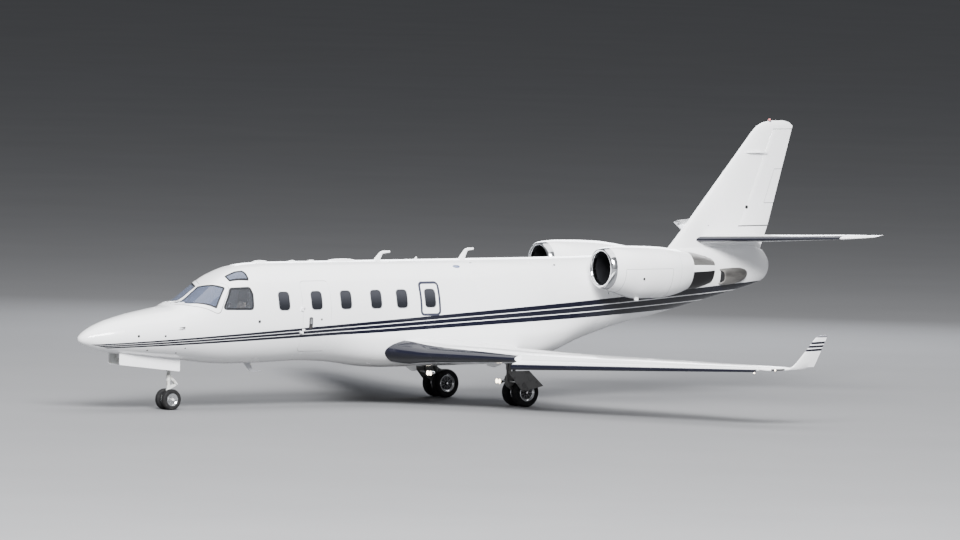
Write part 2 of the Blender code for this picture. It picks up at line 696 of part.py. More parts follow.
def wing_edge(t):
    """Leading and trailing edge of the wing at a distance from the centreline."""
    if t < KINK:
        le = 6.60 + 0.7064 * (t - 0.8)
        te = 9.70 + 0.136 * (t - 0.8)
        return Vector((le, t, 1.07 - 0.0045 * (t - 0.8))), Vector((te, t, 1.075 + 0.0099 * t))
    le = 8.154 + 0.4663 * (t - KINK)
    te = 10.0 + 0.25 * (t - KINK)
    return Vector((le, t, 1.06 + 0.016 * (t - KINK))), Vector((te, t, 1.075 + 0.0099 * t))


def wing_ratio(t):
    if t < KINK:
        return 0.145 + (0.12 - 0.145) * (t - 0.8) / (KINK - 0.8)
    return 0.12 + (0.10 - 0.12) * (t - KINK) / (TIP - KINK)


WINGLET = (((10.66, 8.08, 1.135), (11.42, 8.05, 1.145), 0.10, (0.0, -0.15, 1.0)),
           ((10.92, 8.16, 1.175), (11.65, 8.13, 1.185), 0.09, (0.0, -0.7, 0.7)),
           ((11.08, 8.20, 1.28), (11.73, 8.20, 1.28), 0.08, (0.0, -1.0, 0.15)),
           ((11.50, 8.29, 1.70), (11.80, 8.29, 1.70), 0.08, (0.0, -1.0, 0.1)),
           ((11.60, 8.31, 1.79), (11.81, 8.31, 1.79), 0.08, (0.0, -1.0, 0.1)))


def mirrored(points, side):
    return [Vector((p[0], p[1] * side, p[2])) for p in points]


def wing_rings(side, grow=0.0, winglet=True):
    rings = []
    for t in (ROOT, 1.5, KINK, 4.7, 6.4, TIP):
        front, back = wing_edge(t)
        rings.append(mirrored(airfoil_ring(front, back, wing_ratio(t), (0, 0, 1), grow), side))
    if winglet:
        for front, back, ratio, normal in WINGLET:
            rings.append(mirrored(airfoil_ring(front, back, ratio, normal, grow), side))
    return rings


def chord_point(edges, t, fraction):
    front, back = edges(t)
    return front + (back - front) * fraction


def flap_rings(edges, ratio, ends, fraction, side, normal=(0, 0, 1), steps=3):
    """Rings of a hinged surface with a round nose about its hinge line."""
    normal = Vector(normal).normalized()
    rings = []
    for t in ends:
        front, back = edges(t)
        chord = (back - front).length
        along = (back - front).normalized()
        hinge = front + (back - front) * fraction
        half = half_thickness(fraction) * ratio(t) * chord
        middle_fraction = (fraction + 1) / 2
        middle = front + (back - front) * middle_fraction
        middle_half = half_thickness(middle_fraction) * ratio(t) * chord
        ring = [back + normal * 0.0025, middle + normal * middle_half, hinge + normal * half]
        for i in range(1, steps + 1):
            a = math.pi * i / (steps + 1)
            ring.append(hinge + normal * half * math.cos(a) - along * half * math.sin(a))
        ring += [hinge - normal * half, middle - normal * middle_half, back - normal * 0.0025]
        rings.append([Vector((p.x, p.y * side, p.z)) for p in ring])
    return rings


def bay_outline(edges, ratio, ends, fraction, end_gap, nose_gap):
    """Plan outline of the bay behind which a hinged surface sits."""
    points = []
    for t, out in ((ends[0], -end_gap), (ends[1], end_gap)):
        front, back = edges(t + out)
        chord = (back - front).length
        nose = half_thickness(fraction) * ratio(t) * chord + nose_gap
        hinge = front + (back - front) * fraction
        points.append(((hinge.x - nose, t + out), (back.x + 0.3, t + out)))
    (a, b), (c, d) = points
    return [a, b, d, c]


def hinge_pins(fixed, inner, outer, reach, label):
    """Pins on the fixed wing that carry a hinged surface at both ends of its hinge line."""
    inner, outer = Vector(inner), Vector(outer)
    along = (outer - inner).normalized()
    lean = max(abs(c) for c in along)
    clear = (PIN_GAP + PIN_R * math.sqrt(1 - lean * lean) / lean) / lean
    for i, (end, way) in enumerate(((inner, -along), (outer, along))):
        pin = rod(end + way * clear, end + way * (clear + reach), PIN_R, 8)
        combine(fixed, guide(f"{label}_pin{i}", pin), "UNION")


def make_wings():
    for side, word in ((-1, "left"), (1, "right")):
        wing = add_object(f"wing_{word}", loft(wing_rings(side)), WHITE)
        combine(wing, whole_fuselage, "DIFFERENCE")

        aileron_ends = AILERON[:2]
        outline = bay_outline(wing_edge, wing_ratio, aileron_ends, AILERON[2], BAY_GAP, BAY_GAP)
        outline = [(x, side * y) for x, y in outline]
        combine(wing, guide(f"aileron_bay_{word}", plate(outline, 0.8, 1.4, "Z")), "DIFFERENCE")
        rings = flap_rings(wing_edge, wing_ratio, aileron_ends, AILERON[2], side)
        middle = sum(aileron_ends) / 2
        pivot = chord_point(wing_edge, middle, AILERON[2])
        pivot.y *= side
        add_object(f"aileron_{word}", loft(rings), WHITE, pivot)
        ends = [chord_point(wing_edge, t, AILERON[2]) for t in aileron_ends]
        ends = [(e.x, e.y * side, e.z) for e in ends]
        hinge_pins(wing, ends[0], ends[1], 0.04, f"aileron_{word}")

        flap_ends = ((FLAP[0], FLAP_FRACTION[0]), (KINK, FLAP_FRACTION[1]), (FLAP[1], FLAP_FRACTION[1]))
        for name, grow, inset, operation in (("flap_bay", 0.0, 0.0, "DIFFERENCE"),
                                             ("flap_shape", 0.0, 0.001, "INTERSECT")):
            front_line, back_line = [], []
            for i, (t, fraction) in enumerate(flap_ends):
                shift = inset if i == 0 else (-inset if i == 2 else 0.0)
                hinge = chord_point(wing_edge, t, fraction)
                front_line.append((hinge.x + inset, side * (t + shift)))
                back_line.append((wing_edge(t)[1].x + 0.2, side * (t + shift)))
            shape = guide(f"{name}_{word}", plate(front_line + back_line[::-1], 0.8, 1.4, "Z"))
            if operation == "DIFFERENCE":
                combine(wing, shape, operation)
            else:
                flap = add_object(f"flap_{word}", loft(wing_rings(side, winglet=False)), WHITE)
                combine(flap, shape, operation)

        slat_cut = []
        for t in SLAT:
            front, back = wing_edge(t)
            cut_x = front.x + SLAT_BAY * (back - front).length
            slat_cut.append(((front.x - 0.3, side * t), (cut_x, side * t)))
        (a, b), (c, d) = slat_cut
        combine(wing, guide(f"slat_bay_{word}", plate([a, b, d, c], 0.8, 1.4, "Z")), "DIFFERENCE")
        slat_rings = []
        for t in (SLAT[0] + 0.004, SLAT[1] - 0.004):
            front, back = wing_edge(t)
            chord = (back - front).length
            x = front.x - SLAT_FORWARD
            z = SLAT_LOW[0] + SLAT_LOW[1] * (t - KINK)
            slat_rings.append([Vector((x + a * SLAT_DEEP * chord, side * t, z + b * SLAT_TALL * chord))
                               for a, b in SLAT_SECTION])
        pieces = [loft(slat_rings)]
        for t in SLAT_TRACKS:
            front, back = wing_edge(t)
            chord = (back - front).length
            x = front.x - SLAT_FORWARD + 0.034 * chord
            z = SLAT_LOW[0] + SLAT_LOW[1] * (t - KINK)
            bluff = front.x + SLAT_BAY * chord - 0.0095
            track = [(x, z - 0.012), (bluff, front.z - 0.02), (bluff, front.z + 0.01), (x, z + 0.02)]
            pieces.append(plate(track, side * t - 0.02, side * t + 0.02))
        fused(f"slat_{word}", pieces, BOOT)


def make_fairing():
    """Fairing under the cabin that the wing passes into."""
    rings = []
    for x, half, full in FAIRING:
        belly = smooth(BOTTOM, x)
        low = belly + 0.04 - 0.16 * full
        high = belly + 0.22 + 0.34 * full
        middle = (low + high) / 2
        ring = []
        for i in range(FAIRING_POINTS):
            a = math.tau * i / FAIRING_POINTS
            c, s = math.cos(a), math.sin(a)
            ring.append(Vector((x, half * math.copysign(abs(s) ** 0.7, s),
                                middle + (high - low) / 2 * math.copysign(abs(c) ** 0.8, c))))
        rings.append(ring)
    fairing = add_object("belly_fairing", loft(rings), WHITE)
    combine(fairing, whole_fuselage, "DIFFERENCE")
    for side, word in ((-1, "left"), (1, "right")):
        cutter = guide(f"wing_root_{word}", loft(wing_rings(side, SEAT, winglet=False)))
        combine(fairing, cutter, "DIFFERENCE")


# Tail

RUDDER = (3.41, 5.30)
HINGE_LEAN = 0.424       # how far the rudder's hinge leans aft for each metre up
FIN_FRONT = ((2.55, 13.62), (2.98, 13.93), (3.56, 14.46), (5.30, 15.95), (5.39, 16.05), (5.50, 16.40))
FIN_BACK = ((2.55, 16.13), (3.05, 16.23), (3.35, 16.355), (5.39, LENGTH), (5.50, 16.74))
FIN_RATIO = 0.105
TAIL_RATIO = 0.09
TAIL_TIP = 2.84          # from here out the tailplane's leading edge is raked back
TAIL_END_RIB = ((16.74, 3.16, 3.33), (16.90, 3.20, 3.375), 0.06)
ELEVATOR = (0.34, 2.73, 0.66)
BEACON_X = 16.42


def fin_edge(z):
    """Leading and trailing edge of the fin at a height."""
    def line(points):
        for (z0, x0), (z1, x1) in zip(points, points[1:]):
            if z <= z1:
                return x0 + (x1 - x0) * (z - z0) / (z1 - z0)
        return points[-1][1]

    return Vector((line(FIN_FRONT), 0.0, z)), Vector((line(FIN_BACK), 0.0, z))


def tail_edge(t):
    """Leading and trailing edge of the tailplane."""
    front = Vector((14.55 + 0.567 * (t - 0.12), t, 3.13 + 0.060 * (t - 0.12)))
    back = Vector((16.06 + 0.262 * t, t, 3.13 + 0.075 * t))
    if t > TAIL_TIP:
        front = Vector((16.092 + 1.97 * (t - TAIL_TIP), t, 3.293 + 0.10 * (t - TAIL_TIP)))
    return front, back


def tail_ratio(t):
    """The tailplane is as thin for its chord at every distance out."""
    return TAIL_RATIO


def hinge_x(z):
    return 15.69 + HINGE_LEAN * (z - 3.53)


def make_tail():
    rings = []
    for z in (2.55, 2.98, 3.25, 3.56, 4.4, 5.30, 5.39, 5.46, 5.50):
        front, back = fin_edge(z)
        rings.append(airfoil_ring(front, back, FIN_RATIO, (0, 1, 0)))
    fin = add_object("fin", loft(rings), WHITE)
    beacon = guide("beacon_shape", turned([(5.40, 0.03), (5.515, 0.03), (5.535, 0.02), (HEIGHT, 0.008)],
                                          (BEACON_X, 0, 0), 12, "Z", closed=False))
    combine(fin, beacon, "UNION")
    combine(fin, whole_fuselage, "DIFFERENCE")

    low, high = RUDDER
    rings = []
    nose = []
    for z in (low, 4.35, high):
        front, back = fin_edge(z)
        chord = back.x - front.x
        hinge = hinge_x(z)
        fraction = (hinge - front.x) / chord
        half = half_thickness(fraction) * FIN_RATIO * chord
        middle_fraction = (fraction + 1) / 2
        middle_half = half_thickness(middle_fraction) * FIN_RATIO * chord
        middle = (hinge + back.x) / 2
        nose.append((hinge - half, z))
        ring = [(back.x, 0.0025), (middle, middle_half), (hinge, half)]
        for i in (1, 2, 3):
            a = math.pi * i / 4
            ring.append((hinge - half * math.sin(a), half * math.cos(a)))
        ring += [(hinge, -half), (middle, -middle_half), (back.x, -0.0025)]
        rings.append([Vector((x, y, z)) for x, y in ring])
    pivot = (hinge_x(4.35), 0.0, 4.35)
    add_object("rudder", loft(rings), WHITE, pivot)
    gap = 0.014
    (x0, z0), (_, _), (x1, z1) = nose
    under, over = 0.012, 0.026
    behind = LENGTH + 0.26
    outline = [(x0 - gap - HINGE_LEAN * under, low - under), (behind, low - under), (behind, high + over),
               (x1 - gap + HINGE_LEAN * over, high + over)]
    combine(fin, guide("rudder_bay", plate(outline, -0.3, 0.3)), "DIFFERENCE")
    hinge_pins(fin, (hinge_x(low), 0, low), (hinge_x(high), 0, high), 0.05, "rudder")

    spans = (0.0, 1.4, TAIL_TIP, 3.05)
    rings, grown = [], []
    for t in [-s for s in spans[:0:-1]] + list(spans):
        front, back = tail_edge(abs(t))
        for store, grow in ((rings, 0.0), (grown, SEAT)):
            ring = airfoil_ring(front, back, tail_ratio(abs(t)), (0, 0, 1), grow)
            store.append(mirrored(ring, -1 if t < 0 else 1))
    for store in (rings, grown):
        for end, side in ((0, -1), (-1, 1)):
            tip = mirrored(airfoil_ring(*TAIL_END_RIB, (0, 0, 1)), side)
            if end == 0:
                store.insert(0, tip)
            else:
                store.append(tip)
    tailplane = add_object("tailplane", loft(rings), WHITE)
    combine(fin, guide("tailplane_slot", loft(grown)), "DIFFERENCE")
    combine(tailplane, whole_fuselage, "DIFFERENCE")

    ends, fraction = ELEVATOR[:2], ELEVATOR[2]
    for side, word in ((-1, "left"), (1, "right")):
        outline = bay_outline(tail_edge, tail_ratio, ends, fraction, BAY_GAP, BAY_GAP)
        outline = [(x, side * y) for x, y in outline]
        combine(tailplane, guide(f"elevator_bay_{word}", plate(outline, 2.9, 3.6, "Z")), "DIFFERENCE")
        rings = flap_rings(tail_edge, tail_ratio, ends, fraction, side)
        pivot = chord_point(tail_edge, 1.5, fraction)
        pivot.y *= side
        add_object(f"elevator_{word}", loft(rings), WHITE, pivot)
        hinges = [chord_point(tail_edge, t, fraction) for t in ends]
        hinges = [(e.x, e.y * side, e.z) for e in hinges]
        hinge_pins(tailplane, hinges[0], hinges[1], 0.04, f"elevator_{word}")


# Engines

def oval(x, half, up, down, side, grow=0.0):
    """Ring round an engine at a station."""
    ring = []
    for i in range(ENGINE_POINTS):
        a = math.tau * i / ENGINE_POINTS
        c, s = math.cos(a), math.sin(a)
        reach = (up if c > 0 else down) + grow
        ring.append(Vector((x, side * ENGINE_Y + (half + grow) * s, ENGINE_Z + reach * c)))
    return ring


def circle(x, radius, side):
    return oval(x, radius, radius, radius, side)


def make_fan(center, word):
    """Blades and spinner in one, turning about the shaft."""
    rings = []
    for x, twist in ((FAN_X, 0.0), (FAN_X + 0.12, 0.18)):
        ring = []
        for k in range(FAN_BLADES):
            base = math.tau * k / FAN_BLADES + twist
            for spread_by, r in ((-0.072, FAN_ROOT), (-0.028, FAN_R), (0.028, FAN_R), (0.072, FAN_ROOT)):
                a = base + spread_by
                ring.append(Vector((x, center[1] + r * math.sin(a), center[2] + r * math.cos(a))))
        rings.append(ring)
    fan = add_object(f"fan_{word}", loft(rings), TITANIUM, (FAN_X, center[1], center[2]))
    spinner = [(FAN_X - 0.17, 0.004), (FAN_X - 0.14, 0.05), (FAN_X - 0.06, 0.10), (FAN_X + 0.01, 0.122),
               (FAN_X + 0.15, 0.122), (FAN_X + 0.17, 0.05), (CORE[0][0] - 2 * SEAT, 0.045)]
    combine(fan, guide(f"spinner_{word}", turned(spinner, center, 16, closed=False)), "UNION")


def make_engine(side, word):
    """Lip, cowl, core, fan and thrust reverser of one engine, and the pylon that carries them."""
    center = (0.0, side * ENGINE_Y, ENGINE_Z)
    first, half, up, down = COWL[0]
    rings = [circle(first - SEAT, INTAKE_R, side), circle(LIP_X + 0.05, INTAKE_R, side),
             circle(LIP_X + 0.015, 0.335, side)]
    for x, share in ((LIP_X, 0.0), (LIP_X + 0.012, 0.36), (LIP_X + 0.05, 0.75), (first - SEAT, 1.0)):
        grow = [LIP_R + (size - LIP_R) * share for size in (half, up, down)]
        rings.append(oval(x, *grow, side))
    add_object(f"inlet_lip_{word}", loft(rings, closed=True), POLISH)

    outer = [oval(*row, side) for row in COWL]
    duct = ((COWL_END, 0.28), (13.0, DUCT_R), (11.95, DUCT_R), (COWL_X, INTAKE_R))
    inner = [circle(x, r, side) for x, r in duct]
    add_object(f"nacelle_{word}", loft(outer + inner, closed=True), WHITE)
    add_object(f"engine_core_{word}", turned(CORE, center, ENGINE_POINTS, closed=False), DARK_METAL)
    make_fan(center, word)

    (x0, *front), *rest = REVERSER
    *ahead, (x1, *bore) = REVERSER_BORE
    outer = [oval(x0 + SEAT, *front, side)] + [oval(*row, side) for row in rest]
    inner = [oval(*row, side) for row in ahead] + [oval(x1 + SEAT, *bore, side)]
    add_object(f"reverser_{word}", loft(outer + inner, closed=True), DARK_METAL)

    y0, y1 = sorted(side * y for y in PYLON_REACH)
    pylon = add_object(f"pylon_{word}", plate(PYLON, y0, y1), WHITE)
    combine(pylon, whole_fuselage, "DIFFERENCE")
    solid = guide(f"nacelle_solid_{word}", loft([oval(*row, side, SEAT) for row in COWL]))
    combine(pylon, solid, "DIFFERENCE")
    rings = [oval(x - (0.001 if i == 0 else 0.0), *row, side, 0.001) for i, (x, *row) in enumerate(REVERSER)]
    combine(pylon, guide(f"reverser_solid_{word}", loft(rings)), "DIFFERENCE")


# Landing gear

def wheel_profile(radius, width):
    """Half profile of one wheel, tyre and rim in one, from its inner face to its outer face."""
    half = width / 2
    rim = radius * 0.58
    return [(-half * 0.55, rim * 0.92), (-half * 0.72, rim), (-half, radius * 0.8), (-half * 0.45, radius),
            (half * 0.45, radius), (half, radius * 0.8), (half * 0.72, rim), (half * 0.55, rim * 0.92)]


def make_twin(name, x, y, z, radius, width, spacing, axle):
    """Two wheels on one axle that turns with them."""
    pieces = []
    for offset in (-spacing / 2, spacing / 2):
        profile = wheel_profile(radius, width)
        pieces.append(turned(profile, (x, y + offset, z), 24, "Y", closed=False, flat=True))
    pieces.append(turned([(-spacing / 2, axle), (spacing / 2, axle)], (x, y, z), 24, "Y", closed=False))
    return fused(name, pieces, TYRE, (x, y, z))


def make_nose_gear():
    x, z = WHEELBASE_NOSE, NOSE_R
    axle = 0.022
    make_twin("nose_wheels", x, 0.0, z, NOSE_R, NOSE_WIDTH, 0.228, axle)
    hub = turned([(-0.045, 0.045), (0.045, 0.045)], (x, 0, z), 24, "Y", closed=False)
    bore = guide("nose_axle_bore", turned([(-0.2, axle + AXLE_GAP), (0.2, axle + AXLE_GAP)], (x, 0, z), 24,
                                          "Y", closed=False))
    steer_top = 0.80
    pieces = [hub, rod((x, 0, z + 0.03), (x, 0, steer_top), 0.036),
              box((x + 0.02, -0.02, 0.42), (x + 0.17, 0.02, 0.46)),
              box((x + 0.13, -0.02, 0.43), (x + 0.17, 0.02, 0.62))]
    fork = fused("nose_fork", pieces, STEEL, (x, 0, z))
    combine(fork, bore, "DIFFERENCE")
    roof = BAY[3]
    pieces = [rod((x, 0, steer_top + 0.0006), (x, 0, roof - SEAT), 0.055),
              rod((x - 0.02, 0, 0.98), (x - 0.75, 0, roof - SEAT - 0.03), 0.025),
              box((x - 0.80, -0.05, roof - 0.08), (x - 0.70, 0.05, roof - SEAT))]
    fused("nose_leg", pieces, STEEL)
    for side, word in ((-1, "left"), (1, "right")):
        y0, y1 = sorted(side * y for y in NOSE_DOOR_Y)
        door = add_object(f"nose_gear_door_{word}", plate(NOSE_DOOR, y0, y1), WHITE)
        combine(door, whole_fuselage, "DIFFERENCE")


def make_main_gear(side, word):
    x, y, z = MAIN_X, side * MAIN_Y, MAIN_R
    axle = 0.032
    make_twin(f"main_wheels_{word}", x, y, z, MAIN_R, MAIN_WIDTH, 0.332, axle)
    knee = (x - 0.28, y, 0.46)
    pieces = [turned([(-0.06, 0.06), (0.06, 0.06)], (x, y, z), 24, "Y", closed=False),
              rod(knee, (x - 0.02, y, z + 0.02), 0.048),
              rod((knee[0], y, knee[2] - 0.05), (knee[0], y, 1.08), 0.055),
              rod((x - 0.06, y, 0.36), (x - 0.20, y, 0.86), 0.034)]
    leg = fused(f"main_leg_{word}", pieces, STEEL)
    hole = turned([(-0.3, axle + AXLE_GAP), (0.3, axle + AXLE_GAP)], (x, y, z), 24, "Y", closed=False)
    bore = guide(f"main_axle_bore_{word}", hole)
    combine(leg, bore, "DIFFERENCE")
    combine(leg, guide(f"wing_over_leg_{word}", loft(wing_rings(side, SEAT, winglet=False))), "DIFFERENCE")
    y0, y1 = sorted(side * y for y in MAIN_DOOR_Y)
    door = plate(MAIN_DOOR, y0, y1)
    y0, y1 = sorted((side * 1.44, side * 1.70))
    bracket = box((knee[0] - 0.015, y0, DOOR_ARM[0]), (knee[0] + 0.015, y1, DOOR_ARM[1]))
    door_thing = fused(f"main_gear_door_{word}", [door, bracket], WHITE)
    cut = guide(f"leg_space_{word}", rod((knee[0], y, 0.3), (knee[0], y, 1.3), 0.055 + SEAT))
    combine(door_thing, cut, "DIFFERENCE")


def make_details():
    """Air scoop on the tail and the blade aerial on the crown."""
    rings = []
    for x, half_y, low, high in SCOOP:
        middle = (low + high) / 2
        y = -side_y(x, middle)
        rings.append([Vector((x, y + half_y * math.cos(math.tau * i / 12),
                              middle + (high - low) / 2 * math.sin(math.tau * i / 12))) for i in range(12)])
    scoop = add_object("tail_scoop", loft(rings), STEEL)
    combine(scoop, whole_fuselage, "DIFFERENCE")
    blade = add_object("crown_aerial", plate(CROWN_AERIAL, -0.012, 0.012), WHITE)
    combine(blade, whole_fuselage, "DIFFERENCE")


cockpit, cabin = make_fuselage()
make_cockpit_glass(cockpit)
make_cabin_openings(cabin)
make_interior()
make_wings()
make_fairing()
make_tail()
for side, word in ((-1, "left"), (1, "right")):
    make_engine(side, word)
    make_main_gear(side, word)
make_nose_gear()
make_details()
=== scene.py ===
# %% [markdown]
# # Dressing a twin-engine business jet
#
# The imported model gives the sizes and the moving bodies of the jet. Here each of its
# nodes gets its finish: gloss white paint with three dark stripes, black rubber boots on
# the leading edges, polished inlet lips, heat-stained metal, tyres and glass. Coarse
# forms are made again as finer meshes in the same places.

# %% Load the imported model
from math import copysign, cos, exp, hypot, pi, radians, sin, sqrt, tan, tau

import bmesh
import bpy
from mathutils import Matrix, Vector


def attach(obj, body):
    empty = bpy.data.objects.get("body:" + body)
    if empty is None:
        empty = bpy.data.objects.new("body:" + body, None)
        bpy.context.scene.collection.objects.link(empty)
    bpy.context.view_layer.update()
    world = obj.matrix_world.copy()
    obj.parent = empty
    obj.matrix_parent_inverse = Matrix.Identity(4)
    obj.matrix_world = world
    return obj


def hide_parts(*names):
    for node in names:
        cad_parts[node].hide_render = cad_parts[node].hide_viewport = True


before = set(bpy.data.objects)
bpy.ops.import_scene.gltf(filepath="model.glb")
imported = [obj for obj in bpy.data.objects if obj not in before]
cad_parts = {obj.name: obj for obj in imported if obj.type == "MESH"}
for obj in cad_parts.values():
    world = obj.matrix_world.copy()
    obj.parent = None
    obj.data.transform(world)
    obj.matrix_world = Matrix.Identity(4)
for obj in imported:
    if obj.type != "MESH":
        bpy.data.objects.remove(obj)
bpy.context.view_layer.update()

scene = bpy.context.scene
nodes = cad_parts
print(len(nodes), "nodes loaded")

# %% [markdown]
# ## Stations
#
# Aircraft are measured in stations, metres aft of the nose tip. The frame puts its
# origin at mid length, so one helper turns a station, a distance to the right and a
# height into a place. Every other number below is a station, a half width or a height.

# %% Places and smooth lines
NOSE_TIP = -8.47
SIDES = ((-1, "left"), (1, "right"))
CUT, KEEP = "DIFFERENCE", "INTERSECT"   # what a Boolean takes away, and what it keeps


def at(x, y, z):
    return Vector((x + NOSE_TIP, y, z))


def bend(table, x):
    """Value of a line through its points, with soft bends. It is worked in the square root of
    the station, which makes the nose tip round."""
    if x <= table[0][0]:
        return table[0][1]
    if x >= table[-1][0]:
        return table[-1][1]
    s = sqrt(x)
    knots = [(sqrt(a), b) for a, b in table]
    steps = [(b[1] - a[1]) / (b[0] - a[0]) for a, b in zip(knots, knots[1:])]
    i = max(k for k in range(len(steps)) if knots[k][0] <= s)

    def slope(k):
        if k in (0, len(steps)):
            return steps[min(k, len(steps) - 1)]
        before, after = steps[k - 1], steps[k]
        return 0.0 if before * after <= 0 else 2 * before * after / (before + after)

    (s0, v0), (s1, v1) = knots[i], knots[i + 1]
    h = s1 - s0
    t = (s - s0) / h
    return (v0 * (1 + 2 * t) * (1 - t) ** 2 + slope(i) * h * t * (1 - t) ** 2 + v1 * t * t * (3 - 2 * t)
        + slope(i + 1) * h * t * t * (t - 1))


def circle(steps):
    """Cosine and sine at even steps round a circle."""
    return [(cos(tau * i / steps), sin(tau * i / steps)) for i in range(steps)]


def squarish(value, power):
    """A value raised to a power with its sign kept, which makes an oval fuller at its corners."""
    return copysign(abs(value) ** power, value)


def rect(x0, x1, z0, z1):
    return [(x0, z0), (x1, z0), (x1, z1), (x0, z1)]


def drum(start, end, radius):
    """Half profile of a plain round bar."""
    return [(start, 0.0), (start, radius), (end, radius), (end, 0.0)]


def spread(start, end, step):
    count = max(1, round((end - start) / step))
    return [start + (end - start) * i / count for i in range(count + 1)]


# %% [markdown]
# ## Camera, floor and light
#
# The photograph was taken with a long lens from far off, ahead of the left wing and a
# little above the wheels. A long lens flattens depth, so the camera stands more than two
# hundred metres away. A pale floor and large soft lights, as in a studio, let the gloss
# paint show long clean highlights.

# %% Camera
YAW, PITCH, ROLL = 0.6052, -0.05647, 0.02066
CAMERA_PLACE = at(-126.613, -196.591, 16.118)
FOCAL = 12130.1          # in pixels of an image 960 wide
SENSOR = 36.0

ahead = Vector((sin(YAW) * cos(PITCH), cos(YAW) * cos(PITCH), sin(PITCH)))
level = Vector((cos(YAW), -sin(YAW), 0.0))
above = level.cross(ahead)
right = cos(ROLL) * level + sin(ROLL) * above
up = -sin(ROLL) * level + cos(ROLL) * above
camera = bpy.data.objects.new("camera", bpy.data.cameras.new("camera"))
camera.data.sensor_width = SENSOR
camera.data.lens = FOCAL / 960 * SENSOR
camera.data.clip_start, camera.data.clip_end = 1.0, 2000.0
camera.matrix_world = Matrix(((right.x, up.x, -ahead.x, CAMERA_PLACE.x), (right.y, up.y, -ahead.y,
    CAMERA_PLACE.y), (right.z, up.z, -ahead.z, CAMERA_PLACE.z), (0, 0, 0, 1)))
scene.collection.objects.link(camera)
scene.camera = camera
print("lens", round(camera.data.lens), "mm")

# %% [markdown]
# ## Floor and lights
#
# The floor is one large quad in a plain grey. Three area lights stand in for the
# softboxes of a studio: a big one ahead of the left wing, one overhead and a pale one
# behind. Gloss paint shows its form by the edges of large reflections, so none of them
# is small.

# %% Floor and lights
FLOOR_HALF = 420.0
bm = bmesh.new()
corners = ((-1, -1), (1, -1), (1, 1), (-1, 1))
bm.faces.new([bm.verts.new((a * FLOOR_HALF, b * FLOOR_HALF, 0.0)) for a, b in corners])
mesh = bpy.data.meshes.new("floor")
bm.to_mesh(mesh)
bm.free()
floor = bpy.data.objects.new("floor", mesh)
scene.collection.objects.link(floor)


def soft_light(name, place, target, width, height, power, color=(1.0, 1.0, 1.0)):
    light = bpy.data.lights.new(name, "AREA")
    light.shape = "RECTANGLE"
    light.size, light.size_y = width, height
    light.energy = power
    light.color = color
    lamp = bpy.data.objects.new(name, light)
    lamp.location = place
    lamp.rotation_euler = (Vector(target) - Vector(place)).to_track_quat("-Z", "Y").to_euler()
    scene.collection.objects.link(lamp)


MIDDLE_OF_JET = (0.0, 0.0, 2.0)
soft_light("key", (-32, -56, 44), MIDDLE_OF_JET, 46, 22, 220000)
soft_light("overhead", (0, 0, 24), MIDDLE_OF_JET, 34, 26, 9000)
soft_light("rim", (18, 20, 12), MIDDLE_OF_JET, 20, 10, 6000, (0.92, 0.95, 1.0))
scene.world = bpy.data.worlds.new("studio")
scene.world.use_nodes = True
scene.world.node_tree.nodes["Background"].inputs["Color"].default_value = (0.80, 0.82, 0.86, 1)
scene.world.node_tree.nodes["Background"].inputs["Strength"].default_value = 0.3
print("three soft lights")

# %% [markdown]
# ## Finishes
#
# Effects that several finishes share are shader node groups: grime that gathers in soft
# blotches, the faint ripple of a painted panel, brushed streaks, and outlines for
# stripes, seams and frames. Each group only puts out masks and heights. A small helper
# class adds nodes and links them, so that each material reads as a short recipe.

# %% A short way to write nodes
class Recipe:
    def __init__(self, tree):
        self.tree = tree

    def add(self, kind, **settings):
        node = self.tree.nodes.new("ShaderNode" + kind)
        for key, value in settings.items():
            setattr(node, key, value)
        return node

    def feed(self, socket, value):
        if isinstance(value, bpy.types.NodeSocket):
            self.tree.links.new(value, socket)
        else:
            socket.default_value = value

    def calc(self, operation, *values, clamp=False):
        node = self.add("Math", operation=operation, use_clamp=clamp)
        for socket, value in zip(node.inputs, values):
            self.feed(socket, value)
        return node.outputs[0]

    def span(self, value, low, high, out_low=0.0, out_high=1.0):
        """Turn a value between low and high into one between two others, softly."""
        node = self.add("MapRange", interpolation_type="SMOOTHSTEP")
        for socket, item in zip(node.inputs, (value, low, high, out_low, out_high)):
            self.feed(socket, item)
        return node.outputs[0]

    def blend(self, mask, a, b):
        node = self.add("Mix", data_type="RGBA")
        self.feed(node.inputs["Factor"], mask)
        self.feed(node.inputs[6], (*a, 1) if isinstance(a, tuple) else a)
        self.feed(node.inputs[7], (*b, 1) if isinstance(b, tuple) else b)
        return node.outputs[2]

    def noise(self, scale, detail=4.0, stretch=(1, 1, 1), rough=0.55):
        coords = self.add("TexCoord").outputs["Object"]
        mapping = self.add("Mapping")
        mapping.inputs["Scale"].default_value = stretch
        self.feed(mapping.inputs["Vector"], coords)
        node = self.add("TexNoise")
        self.feed(node.inputs["Vector"], mapping.outputs[0])
        self.feed(node.inputs["Scale"], scale)
        node.inputs["Detail"].default_value = detail
        node.inputs["Roughness"].default_value = rough
        return node.outputs[0]

    def place(self):
        """The station, the distance to the side and the height of a point."""
        node = self.add("SeparateXYZ")
        self.feed(node.inputs[0], self.add("TexCoord").outputs["Object"])
        station = self.calc("SUBTRACT", node.outputs[0], NOSE_TIP)
        return station, node.outputs[1], node.outputs[2]

    def group(self, tree, **values):
        node = self.add("Group", node_tree=tree)
        for name, value in values.items():
            self.feed(node.inputs[name.replace("_", " ")], value)
        return node.outputs


